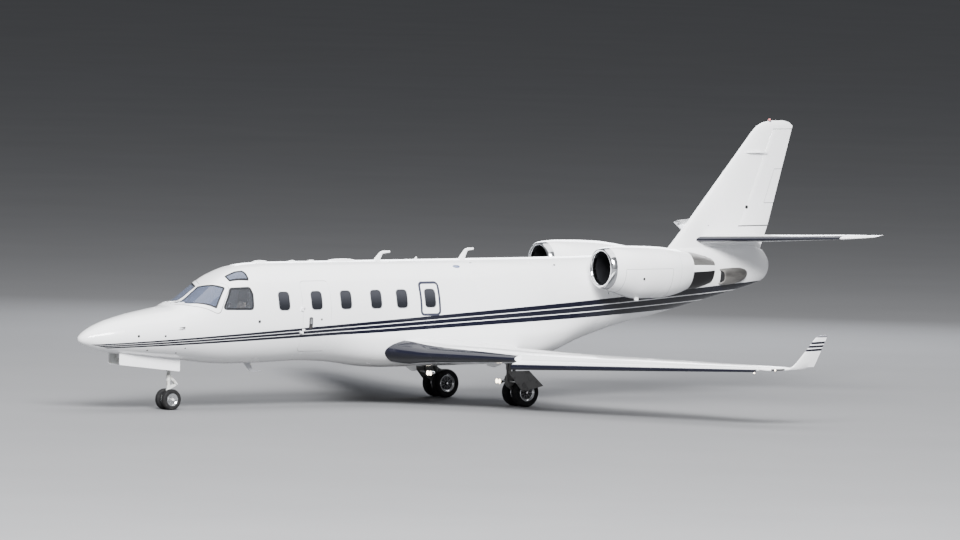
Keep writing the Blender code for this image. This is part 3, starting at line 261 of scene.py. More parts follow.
def effect(name, inputs, outputs):
    """A shader node group with number inputs and outputs."""
    tree = bpy.data.node_groups.new(name, "ShaderNodeTree")
    for label, value in inputs.items():
        socket = tree.interface.new_socket(name=label, in_out="INPUT", socket_type="NodeSocketFloat")
        socket.default_value = value
    for label in outputs:
        tree.interface.new_socket(name=label, in_out="OUTPUT", socket_type="NodeSocketFloat")
    make = Recipe(tree)
    start = tree.nodes.new("NodeGroupInput")
    end = tree.nodes.new("NodeGroupOutput")
    return tree, make, start.outputs, end.inputs


# %% [markdown]
# ## Grime, ripple and streaks
#
# Grime is broad noise, so wear comes in blotches and not as an even tint. Streaks are
# noise drawn out along the airflow. The ripple bends the shine of a panel very
# slightly, as riveted sheet does.

# %% Grime, ripple and streaks
grime, make, given, out = effect("grime", {"Size": 1.4, "Amount": 0.5}, ("Mask",))
broad = make.span(make.noise(given["Size"], 5.0), 0.45, 0.75)
make.feed(out["Mask"], make.calc("MULTIPLY", broad, given["Amount"], clamp=True))

streaks, make, given, out = effect("streaks", {"Size": 6.0}, ("Along", "Height"))
along = make.noise(given["Size"], 4.0, (0.06, 1.0, 1.0))
make.feed(out["Along"], make.span(along, 0.35, 0.7))
make.feed(out["Height"], make.noise(160.0, 2.0, (0.05, 1.0, 1.0)))

ripple, make, given, out = effect("panel_ripple", {"Depth": 1.0}, ("Height",))
slow = make.noise(0.9, 1.0, (0.6, 1.0, 1.0))
skin_grain = make.noise(220.0, 1.0)
both = make.calc("ADD", slow, make.calc("MULTIPLY", skin_grain, 0.0006))
make.feed(out["Height"], make.calc("MULTIPLY", both, given["Depth"]))
print("three surface effects")

# %% [markdown]
# ## The painted stripes
#
# Three dark stripes run up the side, close together at the nose and wider apart and
# thicker towards the tail. They are masked in the shader from station and height, as a
# painter lays tape by eye from the side: one straight middle line, a spacing that grows
# with the station, and a half width. Mesh stripes would need thin offset skins.

# %% Stripe mask
stripes, make, given, out = effect("stripes", {"Soft edge": 0.003}, ("Mask",))
station, across, height = make.place()
aft = make.calc("SUBTRACT", station, 3.25)
middle_line = make.calc("MULTIPLY_ADD", aft, 0.0508, 1.422)
pitch = make.calc("MULTIPLY_ADD", aft, 0.00742, 0.055)
half = make.calc("MULTIPLY", pitch, 0.445)
steps = make.calc("DIVIDE", make.calc("SUBTRACT", height, middle_line), pitch)
nearest = make.calc("MINIMUM", make.calc("MAXIMUM", make.calc("ROUND", steps), -1.0), 1.0)
away = make.calc("MULTIPLY", make.calc("ABSOLUTE", make.calc("SUBTRACT", steps, nearest)), pitch)
inside = make.span(make.calc("SUBTRACT", half, away), 0.0, given["Soft edge"])
start = make.calc("MULTIPLY_ADD", steps, -0.12, 0.33)
begun = make.span(make.calc("SUBTRACT", station, start), 0.0, 0.02)
make.feed(out["Mask"], make.calc("MULTIPLY", inside, begun))

# %% [markdown]
# ## Frame line mask
#
# Joints and painted frames are thin lines. One group measures how far a point lies from
# a rounded rectangle seen from the side, and each use sets its place, size and width.

# %% Frame line mask
outline, make, given, out = effect("frame_line", {"X": 0.0, "Z": 0.0, "Half X": 0.2, "Half Z": 0.3,
    "Corner": 0.09, "Width": 0.01}, ("Mask",))
station, across, height = make.place()
reach_x = make.calc("SUBTRACT", make.calc("ABSOLUTE", make.calc("SUBTRACT", station, given["X"])),
    make.calc("SUBTRACT", given["Half X"], given["Corner"]))
reach_z = make.calc("SUBTRACT", make.calc("ABSOLUTE", make.calc("SUBTRACT", height, given["Z"])),
    make.calc("SUBTRACT", given["Half Z"], given["Corner"]))
corner_x, corner_z = make.calc("MAXIMUM", reach_x, 0.0), make.calc("MAXIMUM", reach_z, 0.0)
squares = make.calc("ADD", make.calc("MULTIPLY", corner_x, corner_x),
    make.calc("MULTIPLY", corner_z, corner_z))
within = make.calc("MINIMUM", make.calc("MAXIMUM", reach_x, reach_z), 0.0)
edge = make.calc("ADD", make.calc("SQRT", squares), within)
edge = make.calc("ABSOLUTE", make.calc("SUBTRACT", edge, given["Corner"]))
make.feed(out["Mask"], make.span(make.calc("SUBTRACT", given["Width"], edge), 0.0, 0.002))
print("stripe and frame masks")


# %% [markdown]
# ## Materials
#
# Each finish is one Principled shader. Gloss paint is a pale base under a clear coat,
# with a very slight ripple and dirt that thins the shine. Rubber boots are satin, bare
# metal is streaked along the airflow, tyres are dull with dust in the grain.

# %% Material helper
def finish(name, color, roughness, metallic=0.0, **sockets):
    """A Principled material. Colour and roughness may be recipes that get the node helper."""
    material = bpy.data.materials.new(name)
    material.use_nodes = True
    make = Recipe(material.node_tree)
    shader = material.node_tree.nodes["Principled BSDF"]
    shader.inputs["Metallic"].default_value = metallic
    for key, value in sockets.items():
        socket = shader.inputs[key.replace("_", " ")]
        make.feed(socket, value(make) if callable(value) else value)
    if callable(color):
        make.feed(shader.inputs["Base Color"], color(make))
    else:
        shader.inputs["Base Color"].default_value = (*color, 1)
    make.feed(shader.inputs["Roughness"], roughness(make) if callable(roughness) else roughness)
    return material


def relief(make, height, depth):
    """A bump normal from a height; depth is how far full height stands up, in metres."""
    node = make.add("Bump")
    node.inputs["Distance"].default_value = depth
    make.feed(node.inputs["Height"], height)
    return node.outputs[0]


WHITE = (0.87, 0.875, 0.89)
NAVY = (0.004, 0.0045, 0.011)
EXIT_LINE = dict(X=7.700, Z=2.11, Half_X=0.218, Half_Z=0.310, Corner=0.07, Width=0.026)


def soiled(make, color, amount=0.35):
    dirt = make.group(grime, Size=0.8, Amount=amount)["Mask"]
    return make.blend(dirt, color, (0.60, 0.60, 0.60))


def white_color(make):
    return soiled(make, WHITE, 0.12)


def hull_color(make):
    band = make.group(stripes)["Mask"]
    exit_frame = make.group(outline, **EXIT_LINE)["Mask"]
    station, across, height = make.place()
    # Painted shade with dirt: a tan tint that grows towards the bottom of the hull.
    low = make.span(height, 1.15, 0.85)
    base = make.blend(make.calc("MULTIPLY", low, 0.35), white_color(make), (0.58, 0.55, 0.50))
    base = make.blend(exit_frame, base, (0.035, 0.037, 0.055))
    return make.blend(band, base, NAVY)


def paint_roughness(make):
    return make.span(make.group(grime, Size=2.2, Amount=1.0)["Mask"], 0.0, 1.0, 0.17, 0.32)


def paint_normal(make):
    return relief(make, make.group(ripple, Depth=1.0)["Height"], 0.006)


def gloss(name, color, mask=None):
    """Gloss paint. The clear coat is thin where a mask marks rubber or dark tape."""
    coat = (lambda m: m.calc("MULTIPLY_ADD", mask(m), -0.55, 0.6)) if mask else 0.6
    return finish(name, color, paint_roughness, Coat_Weight=coat, Coat_Roughness=0.04, Normal=paint_normal)


paint_white = gloss("white_gloss", white_color)
paint_hull = gloss("hull_gloss", hull_color, lambda m: m.group(stripes)["Mask"])


def patchy(size, amount, clean, worn):
    """A colour with blotches of wear."""
    return lambda m: m.blend(m.group(grime, Size=size, Amount=amount)["Mask"], clean, worn)


def brushed(size, pale, dark):
    """A metal's colour, streaked along the airflow."""
    return lambda m: m.blend(m.group(streaks, Size=size)["Along"], pale, dark)


def uneven(scale, low, high):
    """A roughness that wanders between two values."""
    return lambda m: m.span(m.noise(scale), 0.3, 0.8, low, high)


def grain(scale, detail, depth):
    """A fine bumpy surface."""
    return lambda m: relief(m, m.noise(scale, detail), depth)


polished = finish("polished_lip", brushed(9.0, (0.78, 0.79, 0.81), (0.62, 0.63, 0.65)),
    uneven(14.0, 0.08, 0.22), 1.0)
hot_metal = finish("hot_metal", brushed(7.0, (0.19, 0.17, 0.155), (0.085, 0.078, 0.075)),
    lambda m: m.span(m.group(streaks, Size=12.0)["Along"], 0.0, 1.0, 0.30, 0.48), 0.9,
    Normal=lambda m: relief(m, m.group(streaks, Size=12.0)["Height"], 0.0006))
scoop_metal = finish("scoop_metal", brushed(5.0, (0.30, 0.29, 0.275), (0.13, 0.125, 0.12)), 0.45, 0.85)
gear_paint = finish("gear_paint", patchy(9.0, 0.8, (0.60, 0.61, 0.60), (0.25, 0.23, 0.20)), 0.38,
    Normal=grain(150.0, 2.0, 0.0003))
# Painted shade: a dark copy of the gear paint for the main legs and wheel doors, which stand in the wing's
# shadow.
gear_in_painted_shade = finish("gear_in_painted_shade", patchy(9.0, 0.8, (0.16, 0.158, 0.155), (0.05, 0.047, 0.044)), 0.4)
bright_metal = finish("bright_metal", (0.80, 0.81, 0.82), uneven(60.0, 0.12, 0.3), 1.0)
# Dark metal, also painted shade: it darkens the pitot probes, the door handle's recess, the vent openings
# and several small ports.
dark_metal_and_painted_shade = finish("dark_metal_and_painted_shade", patchy(14.0, 1.0, (0.055, 0.055, 0.06), (0.11, 0.10, 0.09)), 0.45, 0.7)
rubber = finish("tyre_rubber", patchy(12.0, 0.9, (0.007, 0.007, 0.008), (0.022, 0.021, 0.020)),
    uneven(30.0, 0.65, 0.9), Specular_IOR_Level=0.25, Normal=grain(420.0, 3.0, 0.0006))
# Painted shade: the fan is kept a dark metal for the shade inside the intake.
fan_metal = finish("fan_metal", brushed(20.0, (0.12, 0.125, 0.14), (0.07, 0.072, 0.08)), 0.35, 1.0)
# Painted shade: the duct liner is near black, darker than the dark grey metal of a real liner, for the
# shade deep in the intake.
duct = finish("duct_liner_and_painted_shade", patchy(9.0, 0.8, (0.007, 0.0075, 0.009), (0.004, 0.004, 0.005)), 0.8,
    Specular_IOR_Level=0.1)
gasket = finish("window_seal", patchy(20.0, 0.6, (0.006, 0.007, 0.010), (0.02, 0.02, 0.022)), 0.6,
    Specular_IOR_Level=0.25)
rim_grey = finish("window_rim", lambda m: soiled(m, (0.52, 0.53, 0.56), 0.4), 0.35, Coat_Weight=0.3)
# Painted highlight: the tinted cabin panes are lighter at the top, for the daylight they catch there.
smoked = finish("smoked_pane_and_painted_sky", lambda m: m.blend(m.span(m.place()[2], 2.30, 1.97), (0.036, 0.037, 0.044),
    (0.010, 0.011, 0.014)), 0.07, Coat_Weight=0.1)
clear_pane = finish("cockpit_pane", (0.46, 0.48, 0.53), 0.02, Transmission_Weight=0.93, IOR=1.45)
coated_pane = finish("windshield_pane", (0.24, 0.28, 0.40), 0.03, Transmission_Weight=0.72, IOR=1.45)
lining = finish("cabin_lining", lambda m: soiled(m, (0.50, 0.48, 0.44), 0.4), 0.8, Normal=grain(300.0, 2.0,
    0.0008))
# Black trim, also painted shade: it is near black so that the ports and the tail duct's mouth read as deep
# holes.
black_trim_and_hole_shade = finish("black_trim_and_hole_shade", patchy(16.0, 0.8, (0.004, 0.004, 0.005), (0.013, 0.013, 0.015)), 0.7,
    Specular_IOR_Level=0.25)
leather = finish("seat_leather", patchy(7.0, 0.9, (0.52, 0.43, 0.32), (0.36, 0.29, 0.21)), 0.5,
    Normal=grain(180.0, 4.0, 0.0012))
floor_finish = finish("studio_floor", lambda m: m.blend(m.noise(0.25, 2.0), (0.18, 0.182, 0.188),
    (0.20, 0.202, 0.208)), 0.9, Specular_IOR_Level=0.0)
floor.data.materials.append(floor_finish)
lamp_warm = finish("lit_lamp", (1.0, 0.9, 0.75), 0.3, Emission_Color=(1.0, 0.86, 0.66, 1),
    Emission_Strength=9.0)
lens_red = finish("red_lens", (0.55, 0.02, 0.01), 0.12, Coat_Weight=1.0)
print(len(bpy.data.materials), "materials")


# %% [markdown]
# ## Mesh tools
#
# Aircraft skins are lofts: rings of points at successive stations, joined by faces. Cut
# outs are prisms taken away with a Boolean. Where a Boolean leaves slivers in a curved
# skin, the shading would show them, so the skins get their normals from the same
# equation that made their points.

# %% Lofts and prisms
def skin(rings, loop=False, bm=None):
    """Quads between rings. Rings of one point close to a tip."""
    bm = bm or bmesh.new()
    rows = [[bm.verts.new(p) for p in ring] for ring in rings]
    pairs = list(zip(rows, rows[1:])) + ([(rows[-1], rows[0])] if loop else [])
    for a, b in pairs:
        n = max(len(a), len(b))
        for i in range(n):
            k = (i + 1) % n
            face = [a[i % len(a)], a[k % len(a)], b[k % len(b)], b[i % len(b)]]
            bm.faces.new(list(dict.fromkeys(face)))
    if not loop:
        for row in (rows[0], rows[-1]):
            if len(row) > 2:
                bm.faces.new(row)
    return bm


def prism(outline, low, high, across="Y", bm=None):
    """A side-view, plan or front-view outline given depth along the axis across it."""
    def spot(a, b, level):
        return {"Y": at(a, level, b), "Z": at(a, b, level), "X": at(level, a, b)}[across]
    return skin([[spot(a, b, level) for a, b in outline] for level in (low, high)], bm=bm)


def soften(outline, radius, arc=5):
    """Round the corners of an outline."""
    shape = []
    n = len(outline)
    for i, corner in enumerate(outline):
        p = Vector(corner)
        before, after = Vector(outline[i - 1]), Vector(outline[(i + 1) % n])
        a, b = (before - p).normalized(), (after - p).normalized()
        reach = min(radius / tan(max(a.angle(b), 0.2) / 2), (before - p).length / 2, (after - p).length / 2)
        for k in range(arc):
            t = k / (arc - 1)
            shape.append(tuple(p + a * reach * (1 - t) ** 2 + b * reach * t ** 2))
    return shape


def grown(outline, amount):
    """An outline moved outward (or inward when negative) along its own normals."""
    area = sum(a[0] * b[1] - b[0] * a[1] for a, b in zip(outline, outline[1:] + outline[:1]))
    turn = 1 if area > 0 else -1
    shape = []
    n = len(outline)
    for i in range(n):
        before, after = Vector(outline[i - 1]), Vector(outline[(i + 1) % n])
        run = (after - before).normalized()
        shape.append((outline[i][0] + turn * run.y * amount, outline[i][1] - turn * run.x * amount))
    return shape


def oblong(x, z, half_x, half_z, corner, arc=6):
    box = [(x + half_x, z + half_z), (x - half_x, z + half_z), (x - half_x, z - half_z),
        (x + half_x, z - half_z)]
    return soften(box, corner, arc)


# %% [markdown]
# ## Pieces
#
# Every piece ends in the same way, so one function gives it smooth shading, its finish,
# the body it rides on and the nodes it stands in for. Booleans are applied at once,
# which leaves no modifier behind.

# %% Pieces
made = []
SLOTS = {gasket: "dark_boot", polished: "polished_lip", hot_metal: "hot_metal", fan_metal: "fan_metal",
    rubber: "wheel", smoked: "smoked_glass", clear_pane: "cockpit_glass", coated_pane: "cockpit_glass",
    leather: "seat_leather", lining: "lining"}
SLOTS.update({item: "gear_metal" for item in (gear_paint, gear_in_painted_shade, bright_metal, scoop_metal)})
SLOTS.update({item: "panel_black" for item in (black_trim_and_hole_shade, dark_metal_and_painted_shade)})


def settle(name, bm, material, body="airframe", slot=None, replaces=(), angle=32, normal=None):
    """Turn a bmesh into a dressed piece: smooth shading, material, body and what it replaces. A slot is
    looked up but not kept.
    """
    bmesh.ops.remove_doubles(bm, verts=bm.verts, dist=0.00002)
    bmesh.ops.recalc_face_normals(bm, faces=bm.faces)
    mesh = bpy.data.meshes.new(name)
    bm.to_mesh(mesh)
    bm.free()
    thing = bpy.data.objects.new(name, mesh)
    finishes = material if isinstance(material, tuple) else (material,)
    for item in finishes:
        mesh.materials.append(item)
    if slot is None:
        slot = SLOTS.get(finishes[0], "white_paint")
    scene.collection.objects.link(thing)
    shade(thing, angle, normal)
    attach(thing, body)
    if replaces:
        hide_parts(*replaces)
    made.append(name)
    return thing


def flush(name, bm, material, body="airframe", **how):
    """A piece that follows the hull, shaded by the hull's own normals."""
    return settle(name, bm, material, body, normal=hull_normal, **how)


def shade(thing, angle=32, normal=None):
    mesh = thing.data
    mesh.shade_smooth()
    mesh.set_sharp_from_angle(angle=radians(angle))
    if normal is None:
        return
    known = {}
    normals = []
    for face in mesh.polygons:
        for index in face.vertices:
            if index not in known:
                known[index] = normal(mesh.vertices[index].co)
            n = known[index]
            lean = n.dot(face.normal)
            normals.append(n if lean > 0.8 else -n if lean < -0.8 else face.normal.copy())
    mesh.normals_split_custom_set(normals)


def carved(base, *steps):
    """Apply Booleans to a bmesh and give back a bmesh. Each step is an operation and a tool."""
    def loose(bm):
        bmesh.ops.recalc_face_normals(bm, faces=bm.faces)
        mesh = bpy.data.meshes.new("tool")
        bm.to_mesh(mesh)
        bm.free()
        thing = bpy.data.objects.new("tool", mesh)
        scene.collection.objects.link(thing)
        return thing

    thing = loose(base)
    tools = []
    for operation, tool in steps:
        other = loose(tool)
        tools.append(other)
        modifier = thing.modifiers.new("step", "BOOLEAN")
        modifier.operation, modifier.solver, modifier.object = operation, "MANIFOLD", other
    bpy.context.view_layer.update()
    shaped = thing.evaluated_get(bpy.context.evaluated_depsgraph_get())
    mesh = bpy.data.meshes.new_from_object(shaped)
    bm = bmesh.new()
    bm.from_mesh(mesh)
    bpy.data.meshes.remove(mesh)
    for other in tools + [thing]:
        data = other.data
        bpy.data.objects.remove(other)
        bpy.data.meshes.remove(data)
    return bm


# %% [markdown]
# ## The fuselage
#
# The real hull is frames and stringers under riveted sheet. Four lines describe it here:
# its top, its bottom, its half width and the height where it is widest. A fifth sets how
# square the upper half of each section is, since the windshield is flatter than the rest.

# %% Hull lines
TOP = ((0.0, 1.40), (0.05, 1.485), (0.15, 1.56), (0.36, 1.668), (0.86, 1.825), (1.46, 1.945), (1.86, 2.005),
    (1.94, 2.016), (2.00, 2.034), (2.08, 2.078), (2.15, 2.098), (2.28, 2.107), (2.40, 2.165), (2.54, 2.265),
    (2.75, 2.415), (3.10, 2.635), (3.45, 2.765), (3.80, 2.825), (4.3, 2.845), (10.5, 2.845), (12.0, 2.86),
    (13.2, 2.91), (14.2, 2.99), (15.4, 3.05), (15.9, 3.03), (16.10, 2.98), (16.25, 2.90), (16.33, 2.80),
    (16.385, 2.70), (16.41, 2.61))
BOTTOM = ((0.0, 1.40), (0.05, 1.32), (0.15, 1.27), (0.42, 1.18), (0.80, 1.115), (1.5, 1.04), (2.36, 0.96),
    (2.88, 0.90), (3.42, 0.873), (4.2, 0.882), (5.0, 0.905), (5.6, 0.885), (10.0, 0.90), (10.89, 1.00),
    (11.67, 1.21), (12.5, 1.44), (13.61, 1.67), (14.54, 1.88), (15.71, 2.15), (16.20, 2.29), (16.32, 2.37),
    (16.38, 2.49), (16.41, 2.61))
WIDE = ((0.0, 0.0), (0.05, 0.12), (0.15, 0.20), (0.5, 0.36), (1.0, 0.50), (1.6, 0.62), (2.3, 0.71),
    (3.2, 0.77), (4.0, 0.785), (9.5, 0.785), (11.0, 0.745), (12.5, 0.62), (14.0, 0.42), (15.5, 0.21),
    (16.25, 0.12), (16.36, 0.08), (16.41, 0.0))
WAIST = ((0.0, 1.40), (0.8, 1.46), (2.3, 1.60), (4.0, 1.75), (10.0, 1.75), (12.0, 2.00), (14.0, 2.35),
    (16.41, 2.61))
SQUARE = ((0.0, 2.13), (1.5, 2.15), (1.95, 2.5), (2.3, 3.0), (2.8, 3.0), (3.2, 2.7), (3.7, 2.3),
    (4.2, 2.13))
ROUND = 2.08             # power of the ellipse in height
HULL_POINTS = 96
WALL = 0.06
known_lines = {}


def hull_lines(x):
    key = round(x, 5)
    if key not in known_lines:
        known_lines[key] = tuple(bend(t, x) for t in (TOP, BOTTOM, WIDE, WAIST, SQUARE))
    return known_lines[key]


def hull_ring(x, inward=0.0, points=HULL_POINTS):
    top, bottom, wide, waist, square = hull_lines(x)
    if wide < 1e-6:
        return [at(x, 0.0, waist)]
    wide = max(wide - inward, 0.003)
    ring = []
    for c, s in circle(points):
        power = square if c > 0 else SQUARE[0][1]
        reach = (top - waist if c > 0 else waist - bottom) - inward
        rise = max(reach, 0.003) * squarish(c, 2 / ROUND)
        ring.append(at(x, wide * squarish(s, 2 / power), waist + rise))
    return ring


def hull_level(p):
    """Below zero inside the hull and above zero outside it."""
    top, bottom, wide, waist, square = hull_lines(min(max(p.x - NOSE_TIP, 0.0005), 16.405))
    upper = p.z > waist
    power = square if upper else SQUARE[0][1]
    reach = top - waist if upper else waist - bottom
    return (abs(p.y) / max(wide, 1e-4)) ** power + (abs(p.z - waist) / max(reach, 1e-4)) ** ROUND - 1


def hull_normal(p):
    """Outward normal of the hull at a point, from how the level changes around it."""
    near = 0.002
    steps = [Vector(step) for step in ((near, 0, 0), (0, near, 0), (0, 0, near))]
    return Vector([hull_level(p + step) - hull_level(p - step) for step in steps]).normalized()


def hull_side(x, z):
    """Half width of the hull at a station and height."""
    top, bottom, wide, waist, square = hull_lines(x)
    reach, power = (top - waist, square) if z > waist else (waist - bottom, SQUARE[0][1])
    return wide * max(1 - (abs(z - waist) / reach) ** ROUND, 0.0) ** (1 / power)


def hull_top(x, y):
    """Height of the upper skin at a station and half width."""
    top, bottom, wide, waist, square = hull_lines(x)
    return waist + (top - waist) * max(1 - (abs(y) / wide) ** square, 0.0) ** (1 / ROUND)


def tube(stations, outer=0.0, inner=WALL):
    """A wall of hull between two depths."""
    return skin([hull_ring(x, outer) for x in stations] + [hull_ring(x, inner) for x in reversed(stations)],
        loop=True)


def stations_between(start, end, step):
    """Stations at even steps, always through the same marks, so that neighbours share rings."""
    marks = [k * step for k in range(round(17 / step)) if start + 0.3 * step < k * step < end - 0.3 * step]
    return [start] + marks + [end]


print("hull is", round(2 * WIDE[9][1], 2), "m wide")

# %% [markdown]
# ## Windows, door and exits
#
# The openings are drawn as outlines: most from the side, the roof windows from above
# and the windshield square to its own pane. An outline becomes a prism that cuts the hull,
# and the same outline drawn in a little keeps the glass. So pane, seal and hole always fit each other.

# %% Outlines of the openings
WINDOWS = (4.26, 5.02, 5.71, 6.42, 7.03, 7.70)
WINDOW_Z, WINDOW_HALF = 2.12, (0.13, 0.181)
DOOR = (4.69, 5.35, 1.12, 2.49)
DOOR_HINGE = (4.675, -0.80)
EXIT = (7.47, 7.94, 1.79, 2.41)
SIDE_WINDOW = soften([(2.86, 1.98), (2.95, 2.13), (3.10, 2.378), (3.52, 2.392), (3.555, 2.26),
    (3.535, 1.97)], 0.06)
PANE_CORNERS = ((2.125, -0.105, 2.04), (2.690, -0.045, 2.395), (3.004, -0.545, 2.370),
    (2.723, -0.686, 1.999))
EYEBROW = soften([(3.12, 0.345), (3.36, 0.335), (3.51, 0.362), (3.545, 0.435), (3.548, 0.555),
    (3.36, 0.525), (3.14, 0.488)], 0.03)


def from_side(outline, side, low=0.35, high=0.95):
    return prism(outline, side * low, side * high)


def from_above(outline, side, low=1.85):
    return prism([(x, side * y) for x, y in outline], low, 3.0, "Z")


def pane_plane():
    """The flat plane of the left windshield pane: a point, two directions in it and its normal."""
    a, b, c, d = [at(*p) for p in PANE_CORNERS]
    normal = (c - a).cross(d - b).normalized()
    along = (d - a).normalized()
    return a, along, normal.cross(along), normal


pane_start, pane_along, pane_over, pane_normal = pane_plane()
pane_quad = [((at(*p) - pane_start).dot(pane_along), (at(*p) - pane_start).dot(pane_over))
    for p in PANE_CORNERS]
WINDSHIELD, CLEAR_VIEW = soften(pane_quad, 0.022), soften(grown(pane_quad, -0.032), 0.02)


def through_pane(outline, side):
    """A prism square to the windshield pane."""
    rings = []
    for level in (-0.3, 0.3):
        ring = [pane_start + pane_along * a + pane_over * b + pane_normal * level for a, b in outline]
        rings.append([Vector((p.x, p.y * -side, p.z)) for p in ring])
    return skin(rings)


def window(i, grow=0.0):
    return oblong(WINDOWS[i], WINDOW_Z, WINDOW_HALF[0] + grow, WINDOW_HALF[1] + grow, 0.085 + grow)


def opening(ends, grow, corner):
    x0, x1, z0, z1 = ends
    return oblong((x0 + x1) / 2, (z0 + z1) / 2, (x1 - x0) / 2 + grow, (z1 - z0) / 2 + grow, corner)


def door_block(gap):
    """The door's outline in depth; its aft edge is round about the hinge, so it swings clear."""
    x0, x1, z0, z1 = DOOR
    hx, hy = DOOR_HINGE
    reach = hypot(x1 - hx, 0.075) + gap
    arc = [(hx + reach * cos(a), hy + reach * sin(a)) for a in spread(-0.42, 0.63, 0.08)]
    sweep = prism([(hx - 0.3, hy - 0.28)] + arc + [(hx - 0.3, hy + 0.55)], 0.8, 2.8, "Z")
    face = opening(DOOR, gap, 0.10)
    return carved(from_side(face, -1, 0.25, 0.95), (KEEP, sweep))


def rounded_exit(grow):
    return opening(EXIT, grow, 0.09 + grow)


NOSE_BAY = (0.85, 2.26, 0.19, 1.24)
bay_start, bay_end, bay_half, bay_roof = NOSE_BAY
MOVE_GAP = 0.006


def bay_block():
    return prism(rect(bay_start, bay_end, -bay_half, bay_half), 0.5, bay_roof, "Z")


# %% [markdown]
# ## Hull sections
#
# Nose cone, nose, cockpit, cabin and tail are separate skins that share the rings where
# they meet. The wheel bay, the windows, the door and the exits are cut from them, so
# that each opening shows the thickness of the wall.

# %% Hull sections
radome_end, nose_end, cockpit_end, cabin_end, tail_end = 0.80, 1.95, 4.02, 9.95, 16.41
tip = [0.0, 0.002, 0.006, 0.014, 0.026, 0.045, 0.07, 0.10, 0.14, 0.19, 0.25, 0.32, 0.40, 0.48, 0.56, 0.64,
    0.72]
flush("nose_cone", skin([hull_ring(x) for x in tip + [radome_end - 0.003, radome_end - 0.0005]]
    + [hull_ring(radome_end - 0.0005, 0.01)]), paint_hull, replaces=("radome",))
rings = [hull_ring(x) for x in stations_between(radome_end + 0.0005, nose_end, 0.05)]
flush("nose_hull", carved(skin([hull_ring(radome_end + 0.0005, 0.01)] + rings), (CUT, bay_block())),
    (paint_hull, lining), replaces=("nose_section",))

cuts = []
for side, word in SIDES:
    cuts += [(CUT, through_pane(WINDSHIELD, side)), (CUT, from_side(SIDE_WINDOW, side)),
        (CUT, from_above(EYEBROW, side, 2.3))]
cockpit_tube = tube(stations_between(nose_end, cockpit_end, 0.04))
flush("cockpit_hull", carved(cockpit_tube, (CUT, bay_block()), *cuts), paint_hull,
    replaces=("cockpit_section",))

cuts = [(CUT, door_block(MOVE_GAP))]
for side, word in SIDES:
    cuts.append((CUT, from_side(rounded_exit(0.0), side)))
    cuts += [(CUT, from_side(window(i), side)) for i in range(5) if (i, side) != (1, -1)]
flush("cabin_hull", carved(tube(stations_between(cockpit_end, cabin_end, 0.12)), *cuts), paint_hull,
    replaces=("cabin_section",))

rings = [hull_ring(x) for x in stations_between(cabin_end, 16.1, 0.12)]
rings += [hull_ring(x) for x in (16.2, 16.26, 16.31, 16.345, 16.37, 16.388, 16.40, 16.407, tail_end)]
flush("tail_hull", skin(rings), paint_hull, replaces=("aft_fuselage",))
print(made)

# %% [markdown]
# ## Glass, seals and the moving door
#
# Each pane is a thin slice of a wall that follows the hull, kept inside its outline.
# The cabin panes are so dark that they are modelled as tinted, with the daylight they
# catch at the top; the cockpit panes are clear, so the panel and the seats show.

# %% Panes and seals
SIDE_SPAN, FRONT_SPAN = (2.7, 3.7), (2.05, 3.3)


def slice_of_hull(span, depth, *steps, step=0.04):
    return carved(tube(stations_between(*span, step), *depth), *steps)


def band(outline, side, grow_out, grow_in, cut=from_side):
    """Steps that keep only the strip between two offsets of an outline."""
    return ((KEEP, cut(grown(outline, grow_out), side)), (CUT, cut(grown(outline, grow_in), side)))


for side, word in SIDES:
    glass = slice_of_hull(FRONT_SPAN, (0.002, 0.014), (KEEP, through_pane(grown(WINDSHIELD, -0.002), side)))
    flush(f"windshield_glass_{word}", glass, coated_pane, replaces=(f"windshield_{word}",))
    seal = slice_of_hull(FRONT_SPAN, (-0.002, 0.016), (KEEP, through_pane(grown(WINDSHIELD, 0.012), side)),
        (CUT, through_pane(CLEAR_VIEW, side)))
    flush(f"windshield_seal_{word}", seal, gasket)

    glass = slice_of_hull(SIDE_SPAN, (0.002, 0.012), (KEEP, from_side(grown(SIDE_WINDOW, -0.002), side)))
    flush(f"side_glass_{word}", glass, clear_pane, replaces=(f"side_window_{word}",))
    seal = slice_of_hull(SIDE_SPAN, (-0.002, 0.014), *band(SIDE_WINDOW, side, 0.014, -0.024))
    flush(f"side_seal_{word}", seal, gasket)
    glass = slice_of_hull(SIDE_SPAN, (0.002, 0.012), (KEEP, from_above(grown(EYEBROW, -0.002), side, 2.3)))
    flush(f"roof_glass_{word}", glass, coated_pane)
    seal = slice_of_hull(SIDE_SPAN, (-0.002, 0.014), *band(EYEBROW, side, 0.011, -0.022, from_above))
    flush(f"roof_seal_{word}", seal, gasket)

FRAME_WIDTH = 0.085


def near_half(side):
    """Keeps a frame on its own side of the middle."""
    return KEEP, prism(rect(1.9, 3.4, side * 0.0005, side * 0.9), 1.7, 3.0, "Z")


for side, word in SIDES:
    strip = band(WINDSHIELD, side, FRAME_WIDTH, 0.012, through_pane)
    frame_piece = slice_of_hull(FRONT_SPAN, (-0.006, 0.004), *strip, near_half(side))
    flush(f"windshield_frame_{word}", frame_piece, paint_white)
    strip = band(WINDSHIELD, side, FRAME_WIDTH + 0.007, FRAME_WIDTH - 0.002, through_pane)
    joint = slice_of_hull(FRONT_SPAN, (-0.001, 0.004), near_half(side), *strip)
    flush(f"windshield_joint_{word}", joint, gasket)


